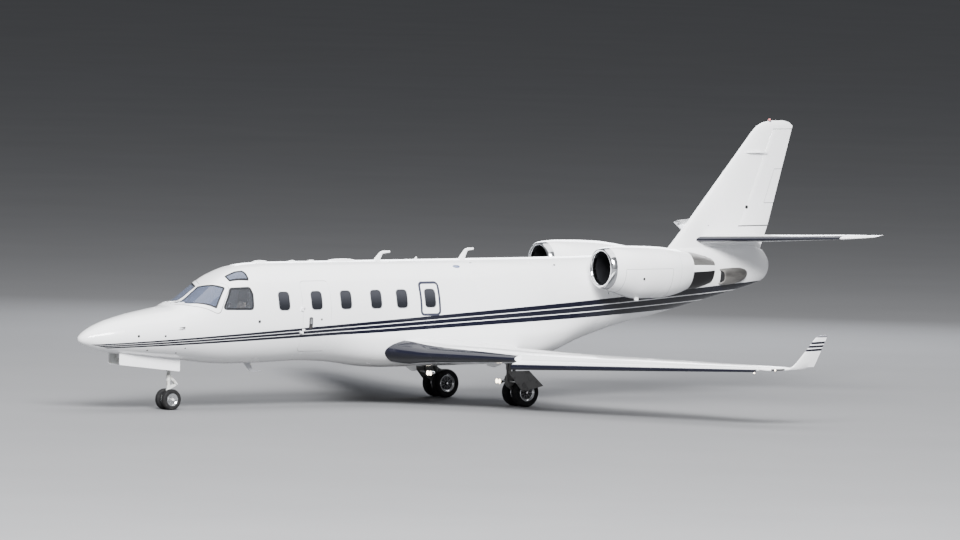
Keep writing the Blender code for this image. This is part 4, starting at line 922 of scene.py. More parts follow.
def cabin_glass(name, i, side, body, **how):
    """One cabin pane with its seal and its pale rim."""
    span = (WINDOWS[i] - 0.25, WINDOWS[i] + 0.25)
    pane = slice_of_hull(span, (0.006, 0.02), (KEEP, from_side(window(i, -0.002), side)), step=0.06)
    flush(f"{name}_pane", pane, smoked, body, **how)
    seal = slice_of_hull(span, (0.001, 0.03), *band(window(i), side, -0.0006, -0.012), step=0.06)
    flush(f"{name}_seal", seal, gasket, body)
    rim = slice_of_hull(span, (-0.0025, 0.006), *band(window(i), side, 0.011, -0.0008), step=0.06)
    flush(f"{name}_rim", rim, rim_grey, body, slot="lining")


for side, word in SIDES:
    for i in range(len(WINDOWS)):
        how = {"replaces": (f"cabin_glazing_{word}",)}
        body = "airframe"
        if side < 0 and i < 2:
            how = {"replaces": ("door_window" if i else "front_window_left",)}
            body = "entry_door" if i else "airframe"
        cabin_glass(f"window_{word}_{i + 1}", i, side, body, **how)
print(len(made), "pieces so far")

# %% [markdown]
# ## Exits and the entry door
#
# The hatches and the door are slices of the same hull wall, kept inside their outlines,
# so they lie flush when they are shut. The door and its window ride on the moving body.

# %% Exits and the entry door
for side, word in SIDES:
    panel = slice_of_hull((EXIT[0] - 0.1, EXIT[1] + 0.1), (0.0, WALL),
        (KEEP, from_side(rounded_exit(-0.0015), side)), (CUT, from_side(window(5), side)), step=0.06)
    flush(f"exit_hatch_{word}", panel, paint_hull, replaces=(f"exit_{word}",))

door = slice_of_hull((DOOR[0] - 0.1, DOOR[1] + 0.1), (0.0, WALL), (KEEP, door_block(0.0)),
    (CUT, from_side(window(1), -1)), step=0.06)
flush("entry_door_panel", door, paint_hull, "entry_door", replaces=("cabin_door",))
print(len(made), "pieces so far")

# %% [markdown]
# ## The wings
#
# A wing is a loft of airfoils whose leading edge, trailing edge and thickness are lines
# along the span. Close to the hull the sections swell into a fillet, as the real root
# fairing does. Flaps are cut from the same loft and ailerons are made from its sections,
# so their outer skins run on without a step; slats have a lip section of their own. The gaps are real.

# %% Airfoils and wing lines
KINK, WING_TIP, WING_ROOT = 3.0, 7.97, 0.50
AILERON = (5.34, 7.72, 0.76)
FLAP_ENDS = ((0.96, 0.884), (3.0, 0.76), (5.30, 0.76))
SLAT = (3.03, 7.95)
SLAT_BAY = 0.078         # share of the chord ahead of the fixed wing, behind the slat
WING_DEPTH = (0.8, 1.45)  # heights that a cut through the wing spans
CHORD_STEPS = [0.5 - 0.5 * cos(pi * i / 22) for i in range(23)]
BLUNT = 0.0025           # least half thickness of an edge
NOSE_ARC = 7             # steps round the nose of a hinged surface
BAY_GAP = 0.012


def half_thickness(f):
    return 5 * (0.2969 * sqrt(f) - 0.126 * f - 0.3516 * f ** 2 + 0.2843 * f ** 3 - 0.1015 * f ** 4)


def foil(front, back, ratio, normal, swell=0.0, over=1.0):
    """Points round an airfoil. Swell thickens it behind the nose, mostly below; over makes its
    upper side fuller."""
    front, back, normal = Vector(front), Vector(back), Vector(normal).normalized()
    chord = (back - front).length
    upper, lower = [], []
    for f in CHORD_STEPS:
        half = max(half_thickness(f) * ratio * chord, BLUNT if f > 0.5 else 0.0)
        spot = front + (back - front) * f
        upper.append(spot + normal * (half * over + 0.4 * swell * min(f * 8, 1.0)))
        lower.append(spot - normal * (half + swell * min(f * 8, 1.0)))
    return upper + lower[:0:-1]


def wing_edge(t):
    """Leading and trailing edge of the wing at a distance from the centreline."""
    low = 1.075 + 0.0099 * t
    if t < KINK:
        out = t - 0.8
        rise = 0.045 * max((1.5 - t) / 0.65, 0.0) ** 1.5
        return at(6.541 + 0.7332 * out, t, 1.07 - 0.0045 * out + rise), at(9.70 + 0.136 * out, t, low)
    out = t - KINK
    return at(8.154 + 0.4663 * out, t, 1.06 + 0.016 * out), at(10.0 + 0.25 * out, t, low)


def wing_ratio(t):
    if t < KINK:
        return 0.145 - 0.025 * (t - 0.8) / (KINK - 0.8)
    return 0.12 - 0.02 * (t - KINK) / (WING_TIP - KINK)


def mirrored(points, side):
    return [Vector((p.x, p.y * side, p.z)) for p in points]


WINGLET = (((10.60, 8.03, 1.124), (11.34, 8.00, 1.138), 0.10, (0.0, -0.05, 1.0)), ((10.76, 8.08, 1.126),
    (11.44, 8.05, 1.140), 0.10, (0.0, -0.15, 1.0)), ((10.92, 8.118, 1.132), (11.53, 8.09, 1.143), 0.095,
    (0.0, -0.35, 0.95)), ((11.04, 8.143, 1.148), (11.585, 8.12, 1.150), 0.09, (0.0, -0.65, 0.75)),
    ((11.125, 8.163, 1.190), (11.622, 8.15, 1.172), 0.085, (0.0, -0.92, 0.4)), ((11.205, 8.188, 1.285),
    (11.655, 8.183, 1.270), 0.08, (0.0, -1.0, 0.15)), ((11.36, 8.243, 1.49), (11.724, 8.243, 1.49), 0.08,
    (0.0, -1.0, 0.12)), ((11.512, 8.290, 1.70), (11.797, 8.290, 1.70), 0.08, (0.0, -1.0, 0.1)),
    ((11.585, 8.305, 1.776), (11.82, 8.305, 1.776), 0.08, (0.0, -1.0, 0.1)), ((11.63, 8.309, 1.789),
    (11.81, 8.309, 1.789), 0.05, (0.0, -1.0, 0.1)))


def wing_rings(side, winglet=True):
    rings = []
    for t in (WING_ROOT, 0.6, 0.7, 0.8, 0.9, 1.0, 1.15, 1.3, 1.5, 1.8, 2.3, KINK, 4.0, 5.0, 6.0, 7.0,
            WING_TIP):
        front, back = wing_edge(t)
        swell = 0.055 * min(max((1.5 - t) / 0.5, 0.0), 1.0) ** 2
        rings.append(mirrored(foil(front, back, wing_ratio(t), (0, 0, 1), swell), side))
    if winglet:
        for front, back, ratio, normal in WINGLET:
            rings.append(mirrored(foil(at(*front), at(*back), ratio, normal), side))
    return rings


def on_chord(edges, t, fraction):
    front, back = edges(t)
    return front + (back - front) * fraction


def behind_hinge(fraction):
    """Shares of the chord from the hinge line to the trailing edge."""
    return [fraction + (1 - fraction) * k / 6 for k in range(7)]


def flap_shape(edges, ratio, ends, fraction, side, over=1.0):
    """A hinged surface with a round nose about its hinge line."""
    rings = []
    for t in spread(*ends[:2], 0.6):
        front, back = edges(t)
        along = (back - front).normalized()
        up = Vector((-along.z, 0, along.x)).normalized()
        chord = (back - front).length
        hinge = front + (back - front) * fraction
        halves = [(f, max(half_thickness(f) * ratio(t) * chord, BLUNT)) for f in behind_hinge(fraction)]
        half = halves[0][1]
        ring = [front + (back - front) * f + up * h * over for f, h in reversed(halves)]
        for i in range(1, NOSE_ARC):
            a = pi * i / NOSE_ARC
            rise = half * cos(a) * (over if i * 2 < NOSE_ARC else 1.0)
            ring.append(hinge + up * rise - along * half * sin(a))
        ring += [front + (back - front) * f - up * h for f, h in halves]
        rings.append(mirrored(ring, side))
    return skin(rings)


def bay_plan(edges, ratio, ends, fraction, side):
    """Plan outline of the bay that a hinged surface sits in."""
    rows = []
    for t in (ends[0] - BAY_GAP, ends[1] + BAY_GAP):
        front, back = edges(t)
        nose = half_thickness(fraction) * ratio(t) * (back - front).length + BAY_GAP
        hinge = front + (back - front) * fraction
        rows.append([(hinge.x - nose - NOSE_TIP, side * t), (back.x + 0.3 - NOSE_TIP, side * t)])
    return [rows[0][0], rows[0][1], rows[1][1], rows[1][0]]


hull_stations = stations_between(5.0, 16.38, 0.12)


def hull_core(depth=WALL * 0.5):
    """A solid inside the hull's skin, which trims what joins the hull."""
    return skin([hull_ring(x, depth, 48) for x in hull_stations])


SLAT_LIP = ((0.0, 0.02), (0.01, 0.26), (0.05, 0.52), (0.12, 0.76), (0.22, 0.95), (0.36, 1.13), (0.55, 1.36),
    (0.78, 1.58), (1.0, 1.75), (0.80, 1.42), (0.62, 1.05), (0.50, 0.66), (0.44, 0.25), (0.42, -0.18),
    (0.42, -0.55), (0.34, -0.69), (0.22, -0.75), (0.12, -0.66), (0.05, -0.46), (0.01, -0.22))

# %% [markdown]
# ## Wing paint
#
# The boots and bands are masked as the stripes are: by a line along the leading edge,
# by levels on the winglet, and by a thin dark line behind the inner boot.

# %% Wing paint
BAND_LEVELS = (1.507, 1.575, 1.643)


def wing_mask(make):
    """The dark boot of the inner leading edge and three bands on the winglet."""
    station, across, height = make.place()
    out = make.calc("ABSOLUTE", across)
    edge = make.calc("MULTIPLY_ADD", out, 0.7332, 6.541 - 0.7332 * 0.8)
    wide = make.calc("MULTIPLY_ADD", out, -0.154, 0.552)
    near = make.calc("MAXIMUM", make.calc("SUBTRACT", 1.0, out), 0.0)
    wide = make.calc("MULTIPLY_ADD", near, -0.36, wide)
    dark = make.span(make.calc("SUBTRACT", make.calc("ADD", edge, wide), station), 0.0, 0.004)
    dark = make.calc("MULTIPLY", dark, make.span(out, KINK + 0.022, KINK + 0.018))
    tilted = make.calc("MULTIPLY_ADD", make.calc("SUBTRACT", station, 11.6), -0.03, height)
    winglet = make.span(out, 8.17, 8.175)
    for level in BAND_LEVELS:
        line = make.span(make.calc("ABSOLUTE", make.calc("SUBTRACT", tilted, level)), 0.024, 0.021)
        dark = make.calc("MAXIMUM", dark, make.calc("MULTIPLY", line, winglet))
    return dark


def wing_color(make):
    """White with the mask's dark parts, a grey winglet cap and a thin dark line behind the boot."""
    station, across, height = make.place()
    out = make.calc("ABSOLUTE", across)
    line = make.calc("SUBTRACT", station, make.calc("MULTIPLY_ADD", out, 1.72, 5.294))
    line = make.calc("MULTIPLY", make.span(make.calc("ABSOLUTE", line), 0.013, 0.009),
        make.span(out, 2.2, 2.15))
    line = make.calc("MULTIPLY", line, make.span(height, 1.10, 1.12))
    color = make.blend(make.calc("MULTIPLY", line, 0.7), white_color(make), (0.10, 0.10, 0.12))
    cap = make.calc("MULTIPLY", make.span(height, 1.748, 1.751), make.span(out, 8.17, 8.175))
    return make.blend(cap, make.blend(wing_mask(make), color, NAVY), (0.15, 0.15, 0.17))


paint_wing = gloss("wing_gloss", wing_color, wing_mask)


def slat_mask(make):
    """The boot wraps the nose of the slat and ends where its top begins."""
    station, across, height = make.place()
    out = make.calc("SUBTRACT", make.calc("ABSOLUTE", across), KINK)
    edge = make.calc("MULTIPLY_ADD", out, 0.0348, 0.960)
    return make.span(make.calc("SUBTRACT", height, edge), 0.003, 0.0)


paint_slat = gloss("slat_gloss", lambda m: m.blend(slat_mask(m), white_color(m), NAVY), slat_mask)

# %% [markdown]
# ## Wings, ailerons, flaps and slats
#
# The fixed wing loses a bay for each surface. Flaps and ailerons are made from the same
# sections and slats from a lip section of their own; an aileron has a round nose about its
# hinge line, so it turns without rubbing.

# %% Wings, ailerons, flaps and slats
for side, word in SIDES:
    aileron_plan = bay_plan(wing_edge, wing_ratio, AILERON[:2], AILERON[2], side)
    flap_front = [(on_chord(wing_edge, t, f).x - NOSE_TIP, side * t) for t, f in FLAP_ENDS]
    flap_back = [(wing_edge(t)[1].x - NOSE_TIP + 0.2, side * t) for t, f in FLAP_ENDS]
    slat_rows = []
    for t in SLAT:
        front, back = wing_edge(t)
        slat_rows.append([(front.x - NOSE_TIP - 0.3, side * t),
            (front.x - NOSE_TIP + SLAT_BAY * (back - front).length, side * t)])
    slat_plan = [slat_rows[0][0], slat_rows[0][1], slat_rows[1][1], slat_rows[1][0]]
    wing = carved(skin(wing_rings(side)), (CUT, hull_core()), (CUT, prism(aileron_plan, *WING_DEPTH, "Z")),
        (CUT, prism(flap_front + flap_back[::-1], *WING_DEPTH, "Z")),
        (CUT, prism(slat_plan, *WING_DEPTH, "Z")))
    settle(f"wing_skin_{word}", wing, paint_wing, replaces=(f"wing_{word}",), angle=25)

    shift = 0.004
    front = [(x + shift, y + side * s) for (x, y), s in zip(flap_front, (shift, 0.0, -shift))]
    back = [(x, y + side * s) for (x, y), s in zip(flap_back, (shift, 0.0, -shift))]
    flap = carved(skin(wing_rings(side, False)), (KEEP, prism(front + back[::-1], *WING_DEPTH, "Z")),
        (CUT, hull_core(-0.004)))
    settle(f"flap_skin_{word}", flap, paint_white, replaces=(f"flap_{word}",), angle=25)
    settle(f"aileron_skin_{word}", flap_shape(wing_edge, wing_ratio, AILERON[:2], AILERON[2], side),
        paint_white, f"aileron_surface_{word}", replaces=(f"aileron_{word}",), angle=25)

    rings = []
    for t in spread(SLAT[0] + 0.004, SLAT[1] - 0.004, 0.8):
        front, back = wing_edge(t)
        chord = (back - front).length
        x, z = front.x - 0.108, 0.905 + 0.04 * (t - KINK)
        rings.append([Vector((x + a * 0.13 * chord, side * t, z + b * 0.0397 * chord))
                      for a, b in SLAT_LIP])
    settle(f"slat_skin_{word}", skin(rings), paint_slat, slot="dark_boot", replaces=(f"slat_{word}",),
        angle=40)
print(len(made), "pieces so far")

# %% [markdown]
# ## Belly fairing
#
# The wing box passes under the cabin in a long smooth fairing. Its sections are the lower
# half of the hull with other numbers: wider, deeper and squarer. A share that grows along
# the hull turns the one into the other, so the skin swells out without a crease.

# %% Belly fairing
SHARE = ((5.3, 0.0), (5.6, 0.08), (5.97, 0.34), (6.3, 0.66), (6.6, 0.88), (6.9, 0.98), (7.1, 1.0),
    (9.6, 1.0), (10.2, 0.85), (10.8, 0.5), (11.4, 0.15), (11.9, 0.0))
FAIRING_OUT, FAIRING_DOWN, FAIRING_ROUND, TUCKED = 0.125, 0.155, 6.0, 0.006
SOFT_BAND = 0.42         # height over which the fairing comes away from the hull
rings = []
for x in spread(SHARE[0][0], SHARE[-1][0], 0.08):
    top, bottom, wide, waist, square = hull_lines(x)
    share = bend(SHARE, x)
    reach = waist - bottom + FAIRING_DOWN * share - TUCKED
    power = ROUND + (FAIRING_ROUND - ROUND) * share
    half = []
    for k in range(29):
        t = k / 28
        level = 1.55 * t if t < 0.5 else (1 - (2 - 2 * t) ** 2 * (1 - 0.775 ** power)) ** (1 / power)
        z = waist - reach * level
        out = (wide + FAIRING_OUT * share) * max(1 - level ** power, 0.0) ** (1 / 2.05)
        away = min((waist - z) / SOFT_BAND, 1.0)
        away *= away * (3 - 2 * away)
        hull_out = hull_side(x, max(z, bottom))
        half.append((hull_out + (out - hull_out) * away - TUCKED * (1 - away), z))
    ring = [at(x, max(y, 0.0), z) for y, z in half[:-1]] + [at(x, 0.0, half[-1][1])]
    rings.append(ring + [at(x, -max(y, 0.0), z) for y, z in half[-2::-1]])
fairing = carved(skin(rings), (CUT, skin([hull_ring(x, 0.02) for x in stations_between(4.6, 12.4, 0.12)])))
settle("belly_fairing_skin", fairing, paint_hull, replaces=("belly_fairing",), angle=40)
print("fairing from", SHARE[0][0], "to", SHARE[-1][0])

# %% [markdown]
# ## Tail
#
# The fin grows out of the hull with a small fillet, carries the tailplane low down and
# the red beacon on its rounded top. Rudder and elevators are made as the ailerons are.

# %% Fin and rudder
FIN_FRONT = ((2.50, 13.50), (2.90, 13.83), (2.98, 13.93), (3.10, 14.05), (3.56, 14.46), (5.30, 15.95),
    (5.40, 16.06), (5.46, 16.18), (5.49, 16.32), (5.50, 16.40))
FIN_BACK = ((2.50, 16.12), (3.05, 16.23), (3.35, 16.355), (5.39, 16.94), (5.46, 16.86), (5.50, 16.72))
RUDDER = (3.41, 5.325)
FIN_RATIO = 0.105        # thickness over chord
HINGE_LEAN = 0.424       # how far the rudder hinge runs aft per metre of height


def straight(points, value):
    for (a, p), (b, q) in zip(points, points[1:]):
        if value <= b:
            return p + (q - p) * (value - a) / (b - a)
    return points[-1][1]


def fin_edge(z):
    return at(straight(FIN_FRONT, z), 0.0, z), at(straight(FIN_BACK, z), 0.0, z)


def fin_side(x, z):
    """Half thickness of the fin at a station and height."""
    front, back = fin_edge(z)
    chord = (back - front).length
    return half_thickness((x + NOSE_TIP - front.x) / chord) * FIN_RATIO * chord


def rudder_hinge(z):
    return 15.69 + HINGE_LEAN * (z - 3.53)


def fin_ring(z, thin=1.0):
    front, back = fin_edge(z)
    return foil(front, back, FIN_RATIO * thin, (0, 1, 0), 0.0)


rings = [fin_ring(z) for z in (2.52, 2.7, 2.98, 3.1, 3.25, 3.4, 3.56, 4.0, 4.5, 5.0, 5.25, 5.33, 5.39)]
rings += [fin_ring(z, thin) for z, thin in ((5.43, 0.93), (5.46, 0.80), (5.48, 0.62), (5.493, 0.42),
    (5.50, 0.2))]
low, high = RUDDER
rudder_rings, noses = [], []
for z in spread(low, high, 0.3):
    front, back = fin_edge(z)
    chord = back.x - front.x
    hinge = rudder_hinge(z) + NOSE_TIP
    fraction = (hinge - front.x) / chord
    halves = [(f, max(half_thickness(f) * FIN_RATIO * chord, BLUNT)) for f in behind_hinge(fraction)]
    half = halves[0][1]
    ring = [Vector((front.x + chord * f, h, z)) for f, h in reversed(halves)]
    ring += [Vector((hinge - half * sin(pi * i / 7), half * cos(pi * i / 7), z)) for i in range(1, 7)]
    ring += [Vector((front.x + chord * f, -h, z)) for f, h in halves]
    rudder_rings.append(ring)
    noses.append((rudder_hinge(z), z, half))
(x0, z0, half0), (x1, z1, half1) = noses[0], noses[-1]
gap, below, over = 0.012, 0.024, 0.012
bay = [(x0 - 0.35 * half0 - HINGE_LEAN * below, z0 - below), (17.2, z0 - below), (17.2, z1 + over),
    (x1 - 0.35 * half1 + HINGE_LEAN * over, z1 + over)]
ends = ((x0 - HINGE_LEAN * below, z0 - below, half0 + gap),
        (x1 + HINGE_LEAN * over, z1 + over, half1 + gap))
hollow = skin([[at(x + r * c, r * s, z) for c, s in circle(48)] for x, z, r in ends])
fin = carved(skin(rings), (CUT, hull_core()), (CUT, prism(bay, -0.3, 0.3)), (CUT, hollow))
settle("fin_skin", fin, paint_white, replaces=("fin",), angle=25)


def rudder_color(make):
    """White with the thin joint round the trim tab at the trailing edge."""
    station, across, height = make.place()
    tab_line = make.calc("MULTIPLY_ADD", height, 0.362, 16.249 - 0.362 * 3.855)
    behind = make.calc("SUBTRACT", station, tab_line)
    up = make.calc("ABSOLUTE", make.calc("SUBTRACT", height, 4.192))
    hinge_line = make.calc("MULTIPLY", make.span(make.calc("ABSOLUTE", behind), 0.005, 0.003),
        make.span(up, 0.342, 0.338))
    ends = make.span(make.calc("ABSOLUTE", make.calc("SUBTRACT", up, 0.338)), 0.010, 0.006)
    joint = make.calc("MAXIMUM", hinge_line, make.calc("MULTIPLY", ends, make.span(behind, 0.0, 0.003)))
    return make.blend(make.calc("MULTIPLY", joint, 0.7), white_color(make), (0.09, 0.09, 0.11))


settle("rudder_skin", skin(rudder_rings), gloss("rudder_gloss", rudder_color), "rudder_surface",
    replaces=("rudder",), angle=25)
print(len(made), "pieces so far")

# %% [markdown]
# ## Tailplane and elevators
#
# The tailplane is one loft from tip to tip through the hull, with a fuller upper side
# and short raked tips. Its boot is a mask, and the elevators turn in their bays.

# %% Tailplane and elevators
ELEVATOR = (0.34, 2.73, 0.66)
TAIL_TIP = 2.84
FULLER = 1.55            # how much fuller the upper side is
TAIL_SPANS = (0.0, 0.12, 0.4, 0.9, 1.5, 2.1, TAIL_TIP, 2.93, 3.0, 3.05)


def tail_edge(t):
    front = at(14.55 + 0.567 * (t - 0.12), t, 3.13 + 0.060 * (t - 0.12))
    back = at(16.06 + 0.262 * t, t, 3.13 + 0.075 * t)
    if t > TAIL_TIP:
        front = at(16.092 + 1.97 * (t - TAIL_TIP), t, 3.293 + 0.10 * (t - TAIL_TIP))
    return front, back


def tail_ratio(t):
    return 0.09


def tail_boot(make):
    """A dark boot along the leading edge, as far out as the raked tip."""
    station, across, height = make.place()
    out = make.calc("ABSOLUTE", across)
    edge = make.calc("MULTIPLY_ADD", out, 0.567, 14.55 - 0.567 * 0.12 + 0.11)
    dark = make.span(make.calc("SUBTRACT", edge, station), 0.0, 0.004)
    return make.calc("MULTIPLY", dark, make.span(out, TAIL_TIP + 0.002, TAIL_TIP - 0.002))


paint_tail = gloss("tailplane_gloss", lambda m: m.blend(tail_boot(m), white_color(m), NAVY), tail_boot)
rings = []
for t in [-s for s in TAIL_SPANS[:0:-1]] + list(TAIL_SPANS):
    rings.append(mirrored(foil(*tail_edge(abs(t)), tail_ratio(t), (0, 0, 1), 0.0, FULLER),
        -1 if t < 0 else 1))
for side in (-1, 1):
    for front, back, ratio in (((16.70, 3.13, 3.329), (16.885, 3.15, 3.366), 0.08),
            ((16.76, 3.17, 3.34), (16.90, 3.195, 3.374), 0.06)):
        ring = mirrored(foil(at(*front), at(*back), ratio, (0, 0, 1)), side)
        rings.insert(0, ring) if side < 0 else rings.append(ring)
bays = [(CUT, prism(bay_plan(tail_edge, tail_ratio, ELEVATOR[:2], ELEVATOR[2], side), 2.9, 3.6, "Z"))
    for side, word in SIDES]
settle("tailplane_skin", carved(skin(rings), (CUT, hull_core()), *bays), paint_tail,
    replaces=("tailplane",), angle=25)
for side, word in SIDES:
    elevator = flap_shape(tail_edge, tail_ratio, ELEVATOR[:2], ELEVATOR[2], side, FULLER)
    settle(f"elevator_skin_{word}", elevator, paint_white, f"elevator_surface_{word}",
        replaces=(f"elevator_{word}",), angle=25)
print(len(made), "pieces so far")

# %% [markdown]
# ## Engines
#
# Each engine hangs beside the tail on a thin pylon. Its cowl is a loft of ovals, deeper
# below than above. Ahead of it sits the polished lip, inside it the fan, and behind it
# the two dark doors of the thrust reverser between white side beams. Parts that are
# round about the shaft are turned from a half profile, as on a lathe.

# %% Turned and swept shapes
ENGINE_Y, ENGINE_Z = 1.08, 2.67
COWL_POINTS = 72
LIP_X, COWL_X, COWL_END, REVERSER_END, FAN_X = 11.53, 11.65, 13.53, 14.14, 12.02


def turned(profile, center, axis="X", steps=64, bm=None):
    """Turn a half profile of (distance along the axis, radius) about an axis through a place. One
    that starts on the axis makes a solid, any other a closed ring."""
    rings = []
    center = at(*center)
    for along, radius in profile:
        ring = []
        for c, s in circle(steps if radius > 0 else 1):
            c, s = radius * c, radius * s
            ring.append(center + Vector({"X": (along, c, s), "Y": (c, along, -s),
                "Z": (c, s, along)}[axis]))
        rings.append(ring)
    return skin(rings, loop=profile[0][1] > 0, bm=bm)


def pipe(points, radius, steps=14, bm=None, taper=None):
    """A round bar along a line of places."""
    points = [at(*p) for p in points]
    rings = []
    side = None
    for i, p in enumerate(points):
        run = (points[min(i + 1, len(points) - 1)] - points[max(i - 1, 0)]).normalized()
        side = (run.orthogonal() if side is None else side - run * side.dot(run)).normalized()
        over = run.cross(side)
        r = radius if taper is None else radius + (taper - radius) * i / (len(points) - 1)
        rings.append([p + side * r * c + over * r * s for c, s in circle(steps)])
    return skin(rings, bm=bm)


def block(low, high, bm=None, round_by=0.0):
    """A block between two places, with its long edges rounded if asked."""
    (x0, y0, z0), (x1, y1, z1) = low, high
    outline = rect(x0, x1, z0, z1)
    if round_by:
        outline = soften(outline, round_by, 4)
    return prism(outline, y0, y1, bm=bm)


COWL = ((COWL_X, 0.437, 0.415, 0.422), (11.80, 0.475, 0.431, 0.470), (12.0, 0.505, 0.437, 0.530),
    (12.35, 0.520, 0.433, 0.612), (12.9, 0.508, 0.408, 0.608), (13.3, 0.455, 0.360, 0.545),
    (COWL_END, 0.400, 0.322, 0.468))


def cowl_ring(x, side, inward=0.0):
    half, rise, fall = (bend([(row[0], row[k]) for row in COWL], x) - inward for k in (1, 2, 3))
    return [at(x, side * ENGINE_Y + half * squarish(s, 0.95),
        ENGINE_Z + (rise if c > 0 else fall) * squarish(c, 0.95)) for c, s in circle(COWL_POINTS)]


def round_ring(x, radius, side):
    return [at(x, side * ENGINE_Y + radius * s, ENGINE_Z + radius * c) for c, s in circle(COWL_POINTS)]


def between(a, b, t):
    return [p.lerp(q, t) for p, q in zip(a, b)]


# %% [markdown]
# ## Cowls and lips
#
# The lip is a ring that rolls from the throat over its nose to the first section of the
# cowl. The cowl is one closed skin, white outside and inside its duct a dark liner,
# made near black as painted shade.

# %% Cowls and lips
REVERSER = ((COWL_END, 0.398, 0.320, 0.464), (13.86, 0.345, 0.255, 0.425),
    (REVERSER_END, 0.290, 0.170, 0.350))
COWL_LINES = (dict(X=12.392, Z=2.25, Half_X=0.561, Half_Z=0.42, Corner=0.02, Width=0.006),
    dict(X=13.42, Z=2.65, Half_X=0.24, Half_Z=0.9, Corner=0.01, Width=0.003))


def cowl_color(make):
    """White cowl with the thin joints of its access doors."""
    dark = make.calc("MAXIMUM", *[make.group(outline, **line)["Mask"] for line in COWL_LINES])
    return make.blend(make.calc("MULTIPLY", dark, 0.6), white_color(make), (0.16, 0.16, 0.18))


paint_cowl = gloss("cowl_gloss", cowl_color)
for side, word in SIDES:
    first = cowl_ring(COWL_X, side)
    rings = [round_ring(LIP_X + x, r, side) for x, r in ((0.118, 0.322), (0.09, 0.322), (0.06, 0.324),
        (0.035, 0.330), (0.017, 0.338), (0.006, 0.347), (0.001, 0.357), (0.0, 0.366))]
    for x, t in ((0.001, 0.08), (0.005, 0.2), (0.011, 0.34), (0.02, 0.48), (0.034, 0.62), (0.055, 0.77),
            (0.082, 0.89), (0.118, 1.0)):
        ring = between(round_ring(LIP_X, 0.366, side), first, t)
        rings.append([Vector((LIP_X + x + NOSE_TIP, p.y, p.z)) for p in ring])
    settle(f"inlet_ring_{word}", skin(rings, loop=True), polished, replaces=(f"inlet_lip_{word}",),
        angle=50)

    rings = [cowl_ring(COWL_X, side, 0.003)] + [cowl_ring(x, side) for x in [COWL_X + 0.002]
        + spread(COWL_X + 0.08, COWL_END - 0.08, 0.08) + [COWL_END]]
    rings += [round_ring(x, r, side) for x, r in ((COWL_END, 0.285), (13.0, 0.336), (12.3, 0.336),
        (11.95, 0.336), (11.82, 0.330), (COWL_X, 0.3235))]
    settle(f"cowl_{word}", skin(rings, loop=True), (paint_cowl, duct), replaces=(f"nacelle_{word}",),
        angle=40)
    cowl = bpy.data.objects[f"cowl_{word}"].data
    for face in cowl.polygons:
        away, up = face.center.y - side * ENGINE_Y, face.center.z - ENGINE_Z
        inward = away * face.normal.y + up * face.normal.z
        front = face.normal.x < -0.9 and face.center.x < COWL_X + NOSE_TIP + 0.001
        face.material_index = 1 if inward < -0.05 or front else 0
print(len(made), "pieces so far")


# %% [markdown]
# ## Reverser doors and beams
#
# Two curved shells close the tail of the cowl above and below, and a white beam stands
# between them on each hand. Each is a grid over an angle with an outer and an inner
# face.

# %% Reverser doors and beams
# Painted shade: the lower reverser door is near black, where the upper door of the same kind is a pale
# brushed metal.
shaded_door_metal = finish("shaded_door_metal", (0.035, 0.033, 0.035), 0.42, 0.9)
door_metal = finish("door_metal", brushed(7.0, (0.42, 0.41, 0.40), (0.27, 0.26, 0.255)), 0.32, 0.85)


def reverser_part(name, side, start, end, depth, tail, material, **how):
    """A curved shell behind the cowl between two angles from the top, with a slanted end."""
    steps = 18
    columns = []
    for i in range(steps + 1):
        a = radians(start + (end - start) * i / steps)
        c, s = cos(a), sin(a)
        last = REVERSER_END - tail * abs(s) ** 2
        column = []
        for x in spread(COWL_END + 0.004, last, 0.06):
            half, rise, fall = (bend([(row[0], row[k]) for row in REVERSER], x) for k in (1, 2, 3))
            reach = rise if c > 0 else fall
            column.append([at(x, side * (ENGINE_Y + (half - d) * s), ENGINE_Z + (reach - d) * c)
                for d in depth])
        columns.append([p[0] for p in column] + [p[1] for p in reversed(column)])
    return settle(name, skin(columns), material, slot="hot_metal", angle=30, **how)


for side, word in SIDES:
    replaced = {"replaces": (f"reverser_{word}",)}
    reverser_part(f"reverser_upper_{word}", side, -78, 78, (0.0, 0.03), 0.02, door_metal, **replaced)
    reverser_part(f"reverser_lower_{word}", side, 102, 258, (0.0, 0.03), 0.02, shaded_door_metal, **replaced)
    for label, middle in (("outer", 90), ("inner", 270)):
        reverser_part(f"reverser_beam_{label}_{word}", side, middle - 10, middle + 10, (-0.010, 0.028),
            0.02, paint_white, **replaced)
print(len(made), "pieces so far")

# %% [markdown]
# ## Exhaust, fan and spinner
#
# Nozzle, plug and spinner are turned. Each blade is a short loft of thin sections that
# twist from root to tip, because the tip meets the air faster than the root does.

